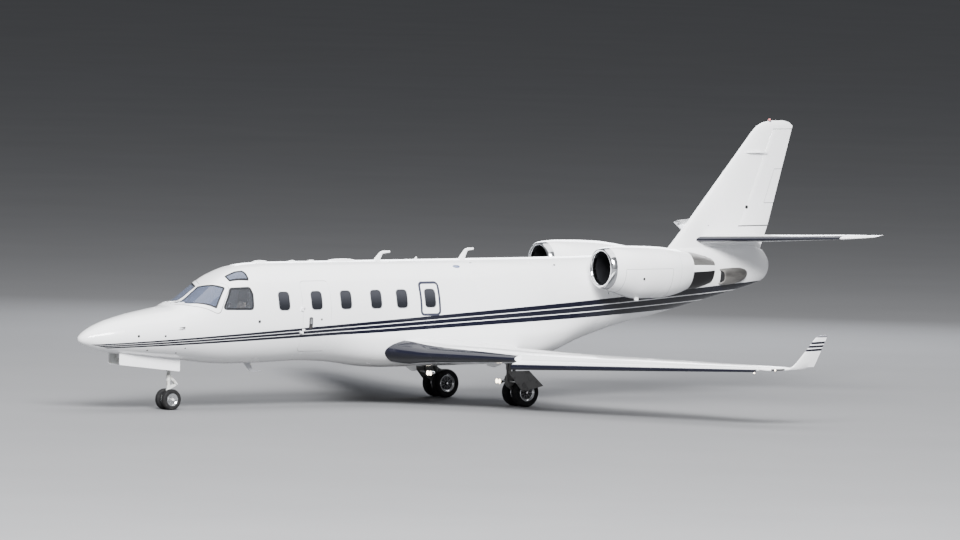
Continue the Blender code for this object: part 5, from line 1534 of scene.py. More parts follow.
# %% Exhaust, fan and spinner
BLADES = 22
for side, word in SIDES:
    center = (0.0, side * ENGINE_Y, ENGINE_Z)
    nozzle = [(13.0, 0.330), (13.5, 0.270), (13.9, 0.225), (14.06, 0.205), (14.06, 0.199), (13.9, 0.217),
        (13.5, 0.260), (13.0, 0.322)]
    settle(f"exhaust_nozzle_{word}", turned(nozzle, center), hot_metal, replaces=(f"engine_core_{word}",),
        angle=40)
    plug = [(12.24, 0.0), (12.24, 0.06), (12.34, 0.09), (12.5, 0.20), (12.6, 0.33), (12.75, 0.33),
        (12.9, 0.24), (13.5, 0.14), (13.85, 0.05), (13.95, 0.0)]
    settle(f"engine_plug_{word}", turned(plug, center), dark_metal_and_painted_shade, slot="hot_metal",
        replaces=(f"engine_core_{word}",), angle=40)

    bm = bmesh.new()
    for k in range(BLADES):
        rows = []
        for level in range(7):
            t = level / 6
            r = 0.105 + (0.322 - 0.105) * t
            lean = radians(28 + 34 * t)
            wide = 0.050 + 0.016 * t
            row = []
            for f, thick in ((-1.0, 0.0012), (-0.3, 0.0035), (0.4, 0.003), (1.0, 0.0012)):
                around = f * wide * sin(lean)
                back = f * wide * cos(lean)
                row.append((around, back, thick))
            ring = []
            for sign in (1, -1):
                for around, back, thick in (row if sign > 0 else row[::-1]):
                    a = tau * k / BLADES + (around + sign * thick * cos(lean)) / r
                    station = FAN_X + 0.075 + back - sign * thick * sin(lean)
                    ring.append(at(station, side * ENGINE_Y + r * sin(a), ENGINE_Z + r * cos(a)))
            rows.append(ring)
        skin(rows, bm=bm)
    settle(f"fan_blades_{word}", bm, fan_metal, f"fan_rotor_{word}", replaces=(f"fan_{word}",), angle=30)
    nose = [(-0.170, 0.0), (-0.166, 0.012), (-0.150, 0.030), (-0.12, 0.055), (-0.08, 0.079), (-0.03, 0.101),
        (0.01, 0.112), (0.06, 0.119), (0.14, 0.121), (0.155, 0.10), (0.16, 0.0)]
    settle(f"spinner_{word}", turned([(FAN_X + x, r) for x, r in nose], center), dark_metal_and_painted_shade,
        f"fan_rotor_{word}", slot="fan_metal", angle=40)
print(len(made), "pieces so far")

# %% [markdown]
# ## Pylons and small engine fittings
#
# A pylon is a thin airfoil laid flat between hull and cowl. A drain, a small intake and
# a port break up the plain cowl.

# %% Pylons and small engine fittings
for side, word in SIDES:
    rings = []
    for y, front, back, ratio in ((0.30, 11.80, 14.15, 0.065), (0.55, 11.90, 14.0, 0.055),
            (0.64, 11.95, 13.92, 0.05), (0.72, 12.0, 13.75, 0.055), (0.80, 12.02, 13.5, 0.07)):
        rings.append(foil(at(front, side * y, 2.655), at(back, side * y, 2.665), ratio, (0, 0, 1)))
    settle(f"pylon_skin_{word}", carved(skin(rings), (CUT, hull_core())), paint_white,
        replaces=(f"pylon_{word}",), angle=30)
    y = side * (ENGINE_Y + 0.18)
    drain = block((12.25, y - 0.016, 2.03), (12.33, y + 0.016, 2.15), round_by=0.01)
    settle(f"cowl_drain_{word}", drain, paint_white)
    chin = turned([(0.0, 0.020), (0.02, 0.028), (0.12, 0.024), (0.12, 0.018), (0.02, 0.020)],
        (11.70, side * (ENGINE_Y + 0.06), 2.175), steps=24)
    settle(f"chin_intake_{word}", chin, bright_metal, slot="polished_lip", angle=40)
    half = bend([(row[0], row[1]) for row in COWL], 12.252) * sqrt(1 - ((ENGINE_Z - 2.476) / 0.60) ** 2)
    # Painted shade: the port is a black dot for its hole.
    dot = turned([(-0.01, 0.0), (-0.01, 0.024), (0.003, 0.024), (0.006, 0.018), (0.006, 0.0)],
        (12.252, side * (ENGINE_Y + half), 2.476), "Y", 20)
    settle(f"cowl_port_{word}", dot, black_trim_and_hole_shade, angle=40)
print(len(made), "pieces so far")

# %% [markdown]
# ## Landing gear
#
# A twin-wheel nose leg steers, and two twin-wheel main legs carry trailing links. Tyres
# and rims are turned, the links are bars. The tyres have the straight tread grooves of
# aircraft tyres, because a rim and a groove are what tell an aircraft wheel from a car's.

# %% Wheels
def wheel(label, body, replaced, x, y, outward, radius, width, rim, grooves, rim_finish, spokes):
    """One tyre with its rim, hub and spokes. The outward sign tells which face shows."""
    half = width / 2
    shoulder = [(-half * 0.80, rim), (-half * 0.86, rim + 0.012),
        (-half * 0.97, rim + 0.35 * (radius - rim)), (-half, rim + 0.55 * (radius - rim)),
        (-half * 0.94, rim + 0.78 * (radius - rim)), (-half * 0.80, radius - 0.012),
        (-half * 0.66, radius - 0.003)]
    tread = []
    for k in range(grooves):
        mid = half * 0.5 * (2 * k / max(grooves - 1, 1) - 1)
        tread += [(mid - 0.004, radius), (mid - 0.003, radius - 0.006), (mid + 0.003, radius - 0.006),
            (mid + 0.004, radius)]
    profile = shoulder + tread + [(-a, r) for a, r in reversed(shoulder)]
    place = (x, y, radius)
    settle(f"{label}_tyre", turned(profile, place, "Y", 80), rubber, body, replaces=replaced, angle=28)
    face = [(half * 0.62, rim - 0.03), (half * 0.80, rim - 0.006), (half * 0.90, rim - 0.002),
        (half * 0.93, rim + 0.006), (half * 0.88, rim + 0.012), (half * 0.80, rim + 0.004)]
    back = [(-a, r) for a, r in reversed(face)]
    bm = turned([(a * outward, r) for a, r in face + back], place, "Y", 80)
    cap = [(half * 0.88, 0.0), (half * 0.88, rim * 0.10), (half * 0.78, rim * 0.16), (half * 0.6, 0.0)]
    turned([(a * outward, r) for a, r in cap], place, "Y", 24, bm=bm)
    settle(f"{label}_rim", bm, rim_finish[0], body, slot="wheel", angle=40)
    disc = [(half * 0.78, 0.0), (half * 0.80, rim * 0.14), (half * 0.76, rim * 0.26),
        (half * 0.55, rim * 0.30), (half * 0.45, rim * 0.45), (half * 0.42, rim * 0.78),
        (half * 0.62, rim - 0.028), (half * 0.50, rim - 0.028), (half * 0.3, rim - 0.04), (half * 0.3, 0.0)]
    settle(f"{label}_disc", turned([(a * outward, r) for a, r in disc], place, "Y", 64), rim_finish[1],
        body, slot="wheel", angle=35)
    bm = bmesh.new()
    for k in range(spokes):
        a = tau * k / spokes
        start, end, thick = rim * 0.30, rim * 0.80, rim * 0.055
        corners = [(start, -thick * 1.5), (end, -thick), (end, thick), (start, thick * 1.5)]
        skin([[at(x + r * cos(a) - d * sin(a), y + outward * depth, radius + r * sin(a) + d * cos(a))
            for r, d in corners] for depth in (half * 0.36, half * 0.56)], bm=bm)
        turn = a + pi / spokes
        bolt = (x + rim * 0.66 * cos(turn), y, radius + rim * 0.66 * sin(turn))
        turned(drum(outward * half * 0.40, outward * half * 0.52, 0.008), bolt, "Y", 8, bm=bm)
    settle(f"{label}_spokes", bm, rim_finish[2], body, slot="wheel", angle=30)


NOSE_X, MAIN_X, MAIN_Y = 2.09, 9.45, 1.385
dark_rim = finish("rim_dark", (0.020, 0.021, 0.024), 0.5, 0.5)
dull_rim = finish("rim_dull", patchy(14.0, 1.0, (0.17, 0.17, 0.18), (0.08, 0.08, 0.08)), 0.4, 0.8)
for side, word in SIDES:
    wheel(f"nose_wheel_{word}", "nose_wheel_pair", ("nose_wheels",), NOSE_X, side * 0.114, side, 0.203,
        0.112, 0.112, 3, (bright_metal, dull_rim, bright_metal), 9)
    for k, offset in (("outer", 0.166), ("inner", -0.166)):
        wheel(f"main_wheel_{k}_{word}", f"main_wheel_pair_{word}", (f"main_wheels_{word}",), MAIN_X,
            side * (MAIN_Y + offset), side if k == "outer" else -side, 0.284, 0.178, 0.160, 4,
            (bright_metal, dark_rim, dull_rim), 9)
print(len(made), "pieces so far")

# %% [markdown]
# ## Nose leg
#
# A casing holds a sliding oleo with torque links, braces and two hoses. What stands
# below the casing steers, so it rides on the steering body.

# %% Nose leg
bm = turned([(-0.20, 0.0), (-0.20, 0.020), (-0.19, 0.026), (0.19, 0.026), (0.20, 0.020), (0.20, 0.0)],
    (NOSE_X, 0, 0.203), "Y", 24)
settle("nose_axle", bm, gear_paint, "nose_wheel_pair", slot="wheel", angle=40)

bm = turned([(0.0, 0.0), (0.0, 0.030), (0.03, 0.036), (0.30, 0.036), (0.30, 0.043), (0.33, 0.043),
    (0.33, 0.036), (0.54, 0.036), (0.54, 0.0)], (NOSE_X, 0, 0.26), "Z", 32)
pipe([(NOSE_X, -0.05, 0.245), (NOSE_X, 0.05, 0.245)], 0.042, 20, bm=bm)
settle("nose_oleo", bm, gear_paint, "nose_steering", replaces=("nose_fork",), angle=40)
bm = bmesh.new()
for y in (-0.022, 0.022):
    lower = soften([(2.08, 0.41), (2.10, 0.395), (2.28, 0.480), (2.27, 0.515), (2.25, 0.51), (2.08, 0.45)],
        0.01, 3)
    upper = soften([(2.08, 0.64), (2.08, 0.68), (2.12, 0.68), (2.28, 0.515), (2.27, 0.485), (2.25, 0.485)],
        0.01, 3)
    prism(lower, y - 0.008, y + 0.008, bm=bm)
    prism(upper, y - 0.008, y + 0.008, bm=bm)
pipe([(2.265, -0.05, 0.498), (2.265, 0.05, 0.498)], 0.012, 12, bm=bm)
for z in (0.38, 0.66):
    turned(drum(-0.02, 0.02, 0.047), (NOSE_X, 0, z), "Z", 24, bm=bm)
settle("nose_torque_links", bm, gear_paint, "nose_steering", angle=40)
bm = turned([(0.0, 0.0), (0.0, 0.055), (0.03, 0.060), (0.09, 0.060), (0.10, 0.052), (0.34, 0.052),
    (0.44, 0.052), (0.44, 0.0)], (NOSE_X, 0, 0.806), "Z", 32)
for side, word in SIDES:
    pipe([(2.06, side * 0.04, 0.92), (1.70, side * 0.05, 1.06), (1.35, side * 0.06, 1.20)], 0.018, 12,
        bm=bm)
pipe([(NOSE_X, -0.17, 1.16), (NOSE_X, 0.17, 1.16)], 0.028, 16, bm=bm)
pipe([(1.35, -0.15, 1.20), (1.35, 0.15, 1.20)], 0.02, 16, bm=bm)
pipe([(2.15, -0.035, 0.86), (2.15, -0.035, 1.18)], 0.014, 12, bm=bm)
settle("nose_leg_casing", bm, gear_paint, replaces=("nose_leg",), angle=40)
bm = pipe([(2.03, 0.05, 1.20), (2.02, 0.055, 1.0), (2.035, 0.05, 0.84), (2.04, 0.045, 0.82)], 0.007, 8)
pipe([(2.04, -0.055, 1.20), (2.03, -0.062, 1.0), (2.05, -0.055, 0.83)], 0.006, 8, bm=bm)
settle("nose_leg_hoses", bm, black_trim_and_hole_shade, slot="gear_metal")

NOSE_DOOR = [(0.82, 0.905), (0.82, 1.165), (1.5, 1.12), (2.22, 1.06), (2.22, 0.75)]
for side, word in SIDES:
    shape = soften(NOSE_DOOR, 0.03, 5)
    skins = prism(shape, side * 0.192, side * 0.2)
    settle(f"nose_door_lining_{word}", prism(grown(shape, -0.018), side * 0.184, side * 0.192), gear_paint)
    prism(grown(shape, -0.004), side * 0.2, side * 0.2065, bm=skins)
    for x in (1.05, 1.55, 2.05):
        prism(rect(x - 0.02, x + 0.02, 1.02, 1.20), side * 0.176, side * 0.186, bm=skins)
    settle(f"nose_door_{word}", skins, paint_white, replaces=(f"nose_gear_door_{word}",))
print(len(made), "pieces so far")

# %% [markdown]
# ## Main legs
#
# A trailing link carries the axle behind a post, and a slanting shock strut joins the
# two. The wheel door hangs on two rods, and two landing lamps look ahead.

# %% Main legs
MAIN_DOOR = [(8.915, 0.72), (9.43, 0.725), (9.78, 0.415), (9.37, 0.33), (9.25, 0.345)]
for side, word in SIDES:
    y = side * MAIN_Y
    bm = turned([(-0.15, 0.0), (-0.15, 0.032), (-0.075, 0.034), (-0.07, 0.055), (0.07, 0.055),
        (0.075, 0.034), (0.15, 0.032), (0.15, 0.0)], (MAIN_X, y, 0.284), "Y", 24)
    settle(f"main_axle_{word}", bm, gear_paint, f"main_wheel_pair_{word}", slot="wheel", angle=40)
    bm = bmesh.new()
    for offset, sign in ((-0.112, -1), (0.112, 1)):
        turned([(sign * d, r) for d, r in ((-0.035, 0.0), (-0.035, 0.085), (-0.028, 0.105), (-0.02, 0.105),
            (-0.02, 0.098), (-0.012, 0.098), (-0.012, 0.105), (-0.004, 0.105), (-0.004, 0.098),
            (0.004, 0.098), (0.004, 0.0))], (MAIN_X, y + offset, 0.284), "Y", 48, bm=bm)
    settle(f"brake_pack_{word}", bm, dark_metal_and_painted_shade, slot="gear_metal", angle=30)
    link = soften([(9.10, 0.50), (9.16, 0.53), (9.30, 0.45), (9.50, 0.345), (9.52, 0.284), (9.47, 0.235),
        (9.38, 0.235), (9.14, 0.40)], 0.03, 5)
    bm = prism(link, y - 0.042, y + 0.042)
    turned(drum(-0.075, 0.075, 0.048), (9.17, y, 0.46), "Y", 28, bm=bm)
    # Painted shade: the main leg parts take the dark copy of the gear paint, as they stand under the wing.
    settle(f"trailing_link_{word}", bm, gear_in_painted_shade, replaces=(f"main_leg_{word}",), angle=35)
    bm = turned([(0.0, 0.0), (0.0, 0.040), (0.02, 0.050), (0.12, 0.055), (0.30, 0.050), (0.34, 0.062),
        (0.42, 0.062), (0.45, 0.055), (0.67, 0.055), (0.67, 0.0)], (9.17, y, 0.41), "Z", 32)
    for dy in (-0.055, 0.055):
        prism(soften([(9.12, 0.42), (9.22, 0.42), (9.23, 0.56), (9.20, 0.62), (9.14, 0.62), (9.11, 0.56)],
            0.02, 4), y + dy - 0.012, y + dy + 0.012, bm=bm)
    pipe([(9.17, y, 0.80), (9.17, y - side * 0.42, 0.98)], 0.024, 14, bm=bm)
    settle(f"main_leg_post_{word}", bm, gear_in_painted_shade, angle=40)
    bm = pipe([(9.39, y, 0.36), (9.33, y, 0.57)], 0.020, 20)
    settle(f"shock_rod_{word}", bm, bright_metal, angle=40)
    bm = pipe([(9.335, y, 0.55), (9.255, y, 0.84)], 0.034, 24)
    pipe([(9.34, y, 0.535), (9.33, y, 0.57)], 0.040, 24, bm=bm)
    for spot in ((9.39, y, 0.355), (9.25, y, 0.86)):
        pipe([(spot[0], y - 0.045, spot[2]), (spot[0], y + 0.045, spot[2])], 0.024, 16, bm=bm)
    settle(f"shock_strut_{word}", bm, gear_in_painted_shade, angle=40)
    bm = pipe([(9.13, y + side * 0.05, 0.96), (9.10, y + side * 0.06, 0.72), (9.11, y + side * 0.06, 0.52),
        (9.22, y + side * 0.055, 0.40), (9.36, y + side * 0.05, 0.33)], 0.008, 8)
    pipe([(9.21, y - side * 0.05, 0.96), (9.24, y - side * 0.065, 0.70), (9.22, y - side * 0.06, 0.54),
        (9.30, y - side * 0.055, 0.42), (9.42, y - side * 0.05, 0.36)], 0.007, 8, bm=bm)
    settle(f"brake_hoses_{word}", bm, black_trim_and_hole_shade, slot="gear_metal")

    shape = soften(MAIN_DOOR, 0.015, 4)
    door = prism(shape, side * 1.700, side * 1.711)
    # Painted shade: the door and its lining take the dark copy of the gear paint; the door's outer face,
    # white on the real jet, lies in the wing's shadow.
    settle(f"main_door_lining_{word}", prism(grown(shape, -0.015), side * 1.6905, side * 1.700), gear_in_painted_shade)
    settle(f"main_door_{word}", door, gear_in_painted_shade, replaces=(f"main_gear_door_{word}",))
    bm = bmesh.new()
    for z in (0.50, 0.68):
        pipe([(9.17, y + side * 0.05, z), (9.17, side * 1.692, z)], 0.014, 12, bm=bm)
    settle(f"main_door_rods_{word}", bm, gear_paint, angle=40)

    shells = bmesh.new()
    lenses = bmesh.new()
    for lamp_y in (side * 1.25, side * 1.155):
        center = (9.12, lamp_y, 0.495)
        turned([(-0.075, 0.046), (-0.075, 0.051), (-0.01, 0.036), (0.03, 0.020), (0.03, 0.004),
            (0.0, 0.004), (-0.012, 0.030)], center, "X", 32, bm=shells)
        pipe([(9.14, lamp_y, 0.495), (9.15, lamp_y, 0.51), (9.16, y - side * 0.03, 0.53)], 0.013, 10,
            bm=shells)
        turned([(-0.080, 0.0), (-0.078, 0.026), (-0.070, 0.044), (-0.064, 0.044), (-0.064, 0.0)], center,
            "X", 32, bm=lenses)
    settle(f"landing_lamp_shells_{word}", shells, bright_metal, angle=40)
    settle(f"landing_lamp_lenses_{word}", lenses, lamp_warm, slot="gear_metal", angle=40)
    small = soften([(8.545, 0.87), (8.60, 0.96), (8.98, 0.96), (8.89, 0.84), (8.738, 0.786),
        (8.571, 0.819)], 0.02, 4)
    settle(f"leg_door_{word}", prism(small, side * 1.495, side * 1.51), paint_white)
print(len(made), "pieces so far")

# %% [markdown]
# ## Cabin and cockpit
#
# The glass and the open doorway show what is inside, so the floor gets carpet, the
# panel gets its screens under a dark hood, and each seat is built of padded pieces: a
# cushion, a back and a headrest on a shell, with armrests. A padded piece is a rounded
# form whose seams press in a little, because foam swells between its seams.

# %% Floor and instrument panel
carpet = finish("cabin_carpet", lambda m: m.blend(m.span(m.noise(160.0), 0.35, 0.7), (0.16, 0.15, 0.15),
    (0.24, 0.22, 0.21)), 0.9)
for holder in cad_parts["cabin_floor"].material_slots:
    holder.link = "OBJECT"
    holder.material = carpet

FLOOR_Z = 1.10


def cockpit_room():
    """The space inside the cockpit's wall."""
    return skin([hull_ring(x, WALL + 0.004, 64) for x in spread(2.0, 4.0, 0.05)])


hood = [(2.30, 2.045), (2.36, 2.075), (2.50, 2.085), (2.62, 2.060), (2.64, 2.030), (2.625, 2.015),
    (2.52, 2.040), (2.38, 2.035), (2.31, 2.020)]
bm = carved(prism(soften(hood, 0.012, 3), -0.64, 0.64), (KEEP, cockpit_room()))
settle("panel_hood", bm, black_trim_and_hole_shade, replaces=("instrument_panel",), angle=40)
face = [(2.34, 2.02), (2.565, 2.015), (2.585, 1.995), (2.585, 1.72), (2.50, 1.60), (2.42, 1.60)]
bm = carved(prism(face, -0.64, 0.64), (KEEP, cockpit_room()))
settle("panel_face", bm, dark_metal_and_painted_shade, angle=30)
screen = finish("screen_glass", (0.012, 0.018, 0.026), 0.08, Coat_Weight=1.0, Coat_Roughness=0.03)
bm = bmesh.new()
bezels = bmesh.new()
for y in (-0.42, -0.20, 0.0, 0.20, 0.42):
    outline = soften(rect(y - 0.088, y + 0.088, 1.76, 1.965), 0.012, 3)
    prism(outline, 2.5855, 2.593, "X", bm=bezels)
    prism(grown(outline, -0.012), 2.593, 2.5955, "X", bm=bm)
settle("panel_bezels", bezels, black_trim_and_hole_shade)
settle("panel_screens", bm, screen, slot="panel_black")
bm = prism(soften([(2.42, 1.30), (3.02, 1.30), (3.02, 1.42), (2.72, 1.56), (2.585, 1.66), (2.44, 1.66)],
    0.02, 4), -0.10, 0.10)
for x, z in ((2.78, 1.555), (2.88, 1.51)):
    for y in (-0.05, -0.02, 0.02, 0.05):
        prism([(x - 0.008, z - 0.03), (x + 0.008, z - 0.03), (x + 0.004, z + 0.045),
            (x - 0.004, z + 0.045)], y - 0.007, y + 0.007, bm=bm)
settle("centre_pedestal", bm, dark_metal_and_painted_shade, angle=30)
for side, word in SIDES:
    y = side * 0.33
    bm = pipe([(2.60, y, 1.62), (2.76, y, 1.64)], 0.016, 12)
    wheel_line = [(2.77, y - 0.13, 1.74), (2.77, y - 0.14, 1.66), (2.77, y - 0.09, 1.61), (2.77, y, 1.63),
        (2.77, y + 0.09, 1.61), (2.77, y + 0.14, 1.66), (2.77, y + 0.13, 1.74)]
    pipe(wheel_line, 0.014, 12, bm=bm)
    settle(f"control_wheel_{word}", bm, black_trim_and_hole_shade, angle=40)
print(len(made), "pieces so far")


# %% [markdown]
# ## Seats
#
# A shell carries a base, a back and a headrest, with an armrest on each hand. Crew
# seats and cabin seats are one function at two widths.

# %% Seats
def cushion(name, center, size, lean=0.0, seams=(), replaces=()):
    """A padded form: a rounded box whose seams press in, leaned back about its own centre."""
    rows, columns, power = 18, 28, 0.42
    rings = []
    for i in range(rows + 1):
        a = pi * (i / rows - 0.5)
        if i in (0, rows):
            ring = [(0.0, 0.0, copysign(1.0, a))]
        else:
            ring = []
            for k in range(columns):
                b = tau * k / columns
                wide = squarish(cos(a), power)
                ring.append((wide * squarish(cos(b), power), wide * squarish(sin(b), power),
                    squarish(sin(a), power)))
        spots = []
        for u, v, w in ring:
            u, v, w = u * size[0], v * size[1], w * size[2]
            for axis, level in seams:
                depth = 0.010 * exp(-(((w if axis == "w" else v) - level) / 0.012) ** 2)
                if size[0] < size[2]:
                    u *= 1 - depth / max(abs(u), 0.02)
                else:
                    w *= 1 - depth / max(abs(w), 0.03)
            x = u * cos(lean) + w * sin(lean)
            z = -u * sin(lean) + w * cos(lean)
            spots.append(at(center[0] + x, center[1] + v, center[2] + z))
        rings.append(spots)
    thing = settle(name, skin(rings), leather, replaces=replaces, angle=60)


def seat(name, x, y, wide, replaced):
    """One forward-facing seat in its own pieces, from a station and a distance from the centreline."""
    half = wide / 2
    floor = FLOOR_Z
    bm = block((x + 0.10, y - half * 0.55, floor + 0.022), (x + 0.34, y + half * 0.55, floor + 0.27),
        round_by=0.03)
    shell = [(x - 0.01, floor + 0.24), (x + 0.45, floor + 0.24), (x + 0.50, floor + 0.50),
        (x + 0.62, floor + 0.93), (x + 0.575, floor + 0.95), (x + 0.42, floor + 0.50),
        (x + 0.36, floor + 0.29), (x - 0.01, floor + 0.29)]
    prism(soften(shell, 0.02, 4), y - half * 0.92, y + half * 0.92, bm=bm)
    settle(f"{name}_shell", bm, lining, angle=35)
    cushion(f"{name}_base", (x + 0.20, y, floor + 0.345), (0.225, half * 0.84, 0.072),
        seams=(("v", -half * 0.5), ("v", half * 0.5)), replaces=replaced)
    cushion(f"{name}_back", (x + 0.45, y, floor + 0.61), (0.062, half * 0.80, 0.27), 0.24,
        seams=(("w", -0.12), ("w", 0.0), ("w", 0.12)))
    cushion(f"{name}_head", (x + 0.535, y, floor + 0.915), (0.045, half * 0.55, 0.075), 0.24)
    for hand in (-1, 1):
        arm = y + hand * half * 0.93
        bm = block((x + 0.10, arm - 0.022, floor + 0.50), (x + 0.42, arm + 0.022, floor + 0.55),
            round_by=0.018)
        block((x + 0.16, arm - 0.012, floor + 0.30), (x + 0.24, arm + 0.012, floor + 0.51), bm=bm)
        settle(f"{name}_arm_{'inner' if hand * y < 0 else 'outer'}", bm, leather, angle=40)


for side, word in SIDES:
    seat(f"crew_seat_{word}", 3.0, side * 0.33, 0.38, ("crew_seats",))
    for row in range(3):
        seat(f"cabin_seat_{word}_{row + 1}", 5.75 + 0.9 * row, side * 0.36, 0.44, ("cabin_seats",))
bm = block((5.70, -0.40, FLOOR_Z + 0.001), (8.05, -0.28, FLOOR_Z + 0.02))
block((5.70, 0.28, FLOOR_Z + 0.001), (8.05, 0.40, FLOOR_Z + 0.02), bm=bm)
settle("seat_tracks", bm, bright_metal)

# %% [markdown]
# ## Door fittings, aerials, ports and lamps
#
# The door turns on two pin hinges at its front edge, and its handle lies on a dark patch,
# painted shade for a recess. Aerials, probes and static ports stand on the skin where the
# real ones do. They are small, but they give the large white surface its scale.

# %% Door hinge and handle
PIN_GAP = 0.0008
for i, z in enumerate((1.48, 1.92)):
    hx, hy = DOOR_HINGE
    bm = turned(drum(z, z + 0.05, 0.012), (hx, hy, 0), "Z", 24)
    block((hx - 0.05, hy + 0.001, z + 0.005), (hx - 0.008, hy + 0.045, z + 0.045), bm=bm)
    settle(f"fixed_knuckle_{i + 1}", bm, paint_white, angle=40)
    low = z + 0.05 + PIN_GAP
    bm = turned(drum(low, low + 0.05, 0.012), (hx, hy, 0), "Z", 24)
    block((hx + 0.008, hy - 0.008, low + 0.005), (hx + 0.045, hy + 0.008, low + 0.045), bm=bm)
    block((hx + 0.022, hy + 0.002, low + 0.005), (hx + 0.044, hy + 0.055, low + 0.045), bm=bm)
    settle(f"door_knuckle_{i + 1}", bm, paint_white, "entry_door", angle=40)

HANDLE = (4.875, 1.685)
# Painted shade: the recess is a flat dark patch, standing a little proud of the door, for the shade inside
# a handle recess.
recess = oblong(*HANDLE, 0.045, 0.115, 0.040)
bm = slice_of_hull((4.80, 5.02), (-0.0015, 0.004), (KEEP, from_side(recess, -1)))
flush("door_handle_shade_patch", bm, dark_metal_and_painted_shade, "entry_door")
grip = oblong(4.88, 1.72, 0.024, 0.055, 0.02)
bm = slice_of_hull((4.80, 5.02), (-0.003, 0.004), (KEEP, from_side(grip, -1)))
flush("door_handle_grip", bm, bright_metal, "entry_door")
print(len(made), "pieces so far")


# %% [markdown]
# ## Aerials
#
# Aerials are thin blades whose edges taper. The low covers on the crown follow the
# curve of the skin, so that their rims don't lift from it.

# %% Aerials
def blade(name, outline, thick, material=paint_white):
    """A thin aerial with thinner edges, from its side view."""
    rings = []
    for level, draw in ((-1.0, -0.012), (-0.45, 0.0), (0.45, 0.0), (1.0, -0.012)):
        rings.append([at(a, level * thick / 2, b) for a, b in grown(outline, draw)])
    return settle(name, skin(rings), material, slot="white_paint", angle=40)


def swept_aerial(name, x, top, tip):
    outline = [(x, 2.82), (x + 0.175, 2.82), (x + 0.175, 2.852), (x + 0.235, top - 0.055),
        (tip, top - 0.036), (tip + 0.004, top), (x + 0.255, top), (x + 0.185, top - 0.015),
        (x + 0.14, top - 0.05)]
    blade(name, soften(outline, 0.012, 3), 0.022)


swept_aerial("crown_aerial_front", 6.82, 3.02, 7.23)
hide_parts("crown_aerial")
swept_aerial("crown_aerial_rear", 8.84, 3.05, 9.22)
blade("crown_spike", soften([(7.79, 2.83), (7.88, 2.83), (7.87, 2.885), (7.85, 2.895)], 0.01, 3), 0.02)
keel = [(3.80, 0.90), (3.98, 0.90), (4.04, 0.745), (4.24, 0.722), (4.245, 0.700), (4.02, 0.700),
    (3.97, 0.715)]
blade("belly_aerial", soften(keel, 0.012, 3), 0.022, rim_grey)
blade("belly_aerial_rear", soften([(7.6, 0.76), (7.9, 0.76), (7.92, 0.64), (7.80, 0.64)], 0.012, 3), 0.02)


def mound(name, x, size):
    """A low rounded bump on the crown."""
    rings = []
    for level in (-0.5, 0.0, 0.3, 0.6, 0.8, 0.92, 0.98):
        draw = sqrt(1 - max(level, 0.0) ** 2)
        ring = []
        for c, s in circle(28):
            px = x + size[0] * draw * squarish(c, 0.7)
            py = size[1] * draw * squarish(s, 0.8)
            ring.append(at(px, py, hull_top(px, py) + size[2] * level))
        rings.append(ring)
    settle(name, skin(rings), paint_white, angle=50)


for i, (x, half_x, half_y, height) in enumerate(((4.15, 0.17, 0.085, 0.030), (4.915, 0.075, 0.05, 0.020),
        (5.365, 0.075, 0.05, 0.020), (6.075, 0.315, 0.09, 0.032))):
    mound(f"crown_cover_{i + 1}", x, (half_x, half_y, height))
print(len(made), "pieces so far")


# %% [markdown]
# ## Ports, probes and small lamps
#
# Small discs stand square to the skin, by the hull's own normal at their spot. Probes
# are bent bars, and the lamps are low domes of dark glass.

# %% Ports, probes and small lamps
def on_hull(x, z, side):
    """A place on the hull's side and the outward direction there."""
    p = at(x, side * hull_side(x, z), z)
    return p, hull_normal(p)


def button(spot, out, radius, rise, bm=None):
    """A low round disc that stands on a surface."""
    side = out.orthogonal().normalized()
    over = out.cross(side)
    rings = []
    for r, h in ((radius, -0.01), (radius, rise * 0.6), (radius * 0.85, rise), (0.0, rise)):
        turns = circle(20 if r else 1)
        rings.append([spot + out * h + (side * c + over * s) * r for c, s in turns])
    return skin(rings, bm=bm)


# Painted shade: the ports are dark discs for the shade inside their holes.
bm = bmesh.new()
rim = bmesh.new()
for x, z, size in ((1.054, 1.478, 0.025), (1.605, 1.476, 0.021), (1.954, 1.134, 0.016),
        (1.312, 1.194, 0.018), (2.093, 1.23, 0.014), (3.67, 1.731, 0.018)):
    for side, word in SIDES:
        button(*on_hull(x, z, side), size, 0.004 if x > 3 else 0.0022, bm=bm)
settle("static_ports", bm, black_trim_and_hole_shade, angle=40)
button(*on_hull(5.122, 1.749, -1), 0.020, 0.0022, bm=rim)
settle("door_lock_port", rim, dark_metal_and_painted_shade, "entry_door", angle=40)

for side, word in SIDES:
    spot, out = on_hull(1.99, 1.64, side)
    root = spot + out * 0.045
    elbow = root + Vector((-0.03, 0, -0.004))
    stem = [tuple(q - Vector((NOSE_TIP, 0, 0))) for q in (spot - out * 0.01, root, elbow)]
    bm = pipe(stem, 0.012, 14)
    x, y, z = stem[2]
    tip_line = [(x, y, z), (x - 0.06, y, z - 0.004), (x - 0.09, y, z - 0.006)]
    pipe(tip_line, 0.011, 14, taper=0.006, bm=bm)
    # Painted shade: the probe is made dark for the shade on its underside.
    settle(f"pitot_probe_{word}", bm, dark_metal_and_painted_shade, slot="gear_metal", angle=40)
    settle(f"side_port_ring_{word}", button(*on_hull(3.67, 1.731, side), 0.034, 0.0022), bright_metal,
        angle=40)

